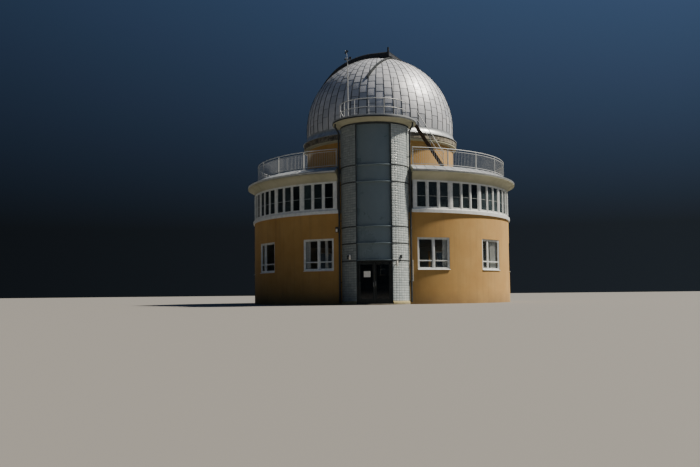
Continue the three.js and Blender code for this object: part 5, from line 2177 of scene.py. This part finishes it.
@dataclass
class Studio:
    """Camera at the photograph's angle, soft light and a plain pale floor."""

    camera_at: tuple[float, float, float] = (2.083, -51.905, 0.601)
    yaw: float = -4.52
    pitch: float = 4.311
    roll: float = -0.59
    lens: float = 41.13
    sensor: float = 36.0
    far: float = 1500.0
    sun_turn: float = 104.0
    sun_height: float = 51.0
    sun_power: float = 9.4
    sun_blur: float = 4.0
    sun: str = "#fff4e4"
    sky: str = "#86b2f4"
    horizon: str = "#444d57"
    sky_power: float = 0.27
    floor: str = "#71706c"
    reach: float = 400.0

    def camera(self) -> None:
        """Sets the camera."""
        yaw, pitch, roll = (radians(v) for v in (self.yaw, self.pitch, self.roll))
        ahead = Vector((sin(yaw) * cos(pitch), cos(yaw) * cos(pitch), sin(pitch)))
        right = Vector((cos(yaw), -sin(yaw), 0.0))
        up = right.cross(ahead)
        across, above = right * cos(roll) + up * sin(roll), up * cos(roll) - right * sin(roll)
        lens = bpy.data.cameras.new("camera")
        lens.lens, lens.sensor_width, lens.clip_end = self.lens, self.sensor, self.far
        view = bpy.data.objects.new("camera", lens)
        view.matrix_world = Matrix((*zip(across, above, -ahead, self.camera_at), (0.0, 0.0, 0.0, 1.0)))
        bpy.context.scene.collection.objects.link(view)
        bpy.context.scene.camera = view

    def light(self) -> None:
        """Sets the soft sun and the sky's fill."""
        lamp = bpy.data.lights.new("key", "SUN")
        lamp.energy, lamp.angle, lamp.color = self.sun_power, radians(self.sun_blur), linear(self.sun)[:3]
        sun = bpy.data.objects.new("key", lamp)
        lift = radians(self.sun_height)
        way = on_circle(cos(lift), self.sun_turn, sin(lift))
        sun.rotation_euler = way.to_track_quat("Z", "Y").to_euler()
        bpy.context.scene.collection.objects.link(sun)
        world = bpy.data.worlds.new("sky")
        world.use_nodes = True
        world.node_tree.nodes.clear()
        add = partial(add_node, world.node_tree)
        way = add("ShaderNodeTexCoord").outputs["Generated"]
        spot = add(SPLIT, {"Vector": way}).outputs
        share = add(MAP_RANGE, {"Value": spot["Z"], "From Min": 0.08, "From Max": 0.5})
        # The fill is weaker on the left, as if a dark screen stood there
        fill = add(MAP_RANGE, {
            "Value": spot["X"], "From Min": -0.9, "From Max": 0.3, "To Min": 0.15 * self.sky_power,
            "To Max": self.sky_power})
        tone = add(MIX, {0: share, MIX_A: linear(self.horizon), MIX_B: linear(self.sky)}, data_type="RGBA")
        sky = add("ShaderNodeBackground", {"Color": tone, "Strength": fill})
        add("ShaderNodeOutputWorld", {"Surface": sky})
        bpy.context.scene.world = world

    def build(self) -> None:
        """Sets the camera, the light and the floor."""
        self.camera()
        self.light()
        r = self.reach
        shape = Shape().patch([(x, y, -0.0008) for x, y in oblong(-r, r, -r, r)], [(0, 1, 2, 3)])
        floor = shape.finish("studio_floor", Finish("matt_studio_floor", self.floor, 0.95).build())


def main() -> None:
    """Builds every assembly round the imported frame."""
    logging.basicConfig(level=logging.INFO, format="%(message)s")
    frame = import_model()
    palette = Palette()
    works = (palette, RingLayout(), RodLayout())
    kept = {"base_slab": palette.concrete, "first_floor": palette.concrete, "terrace_deck": palette.felt}
    kept.update(dict.fromkeys(numbered("dome_shell", 4), palette.zinc))
    for name, material in kept.items():
        frame["nodes"][name].material_slots[0].material = material
    for kind in (House, WindowBand, Terrace, Drum, Dome, SlitCover, StairTower, Entrance, RoofStair):
        kind(*works).build()
    Studio().build()


if __name__ == "__main__":
    main()
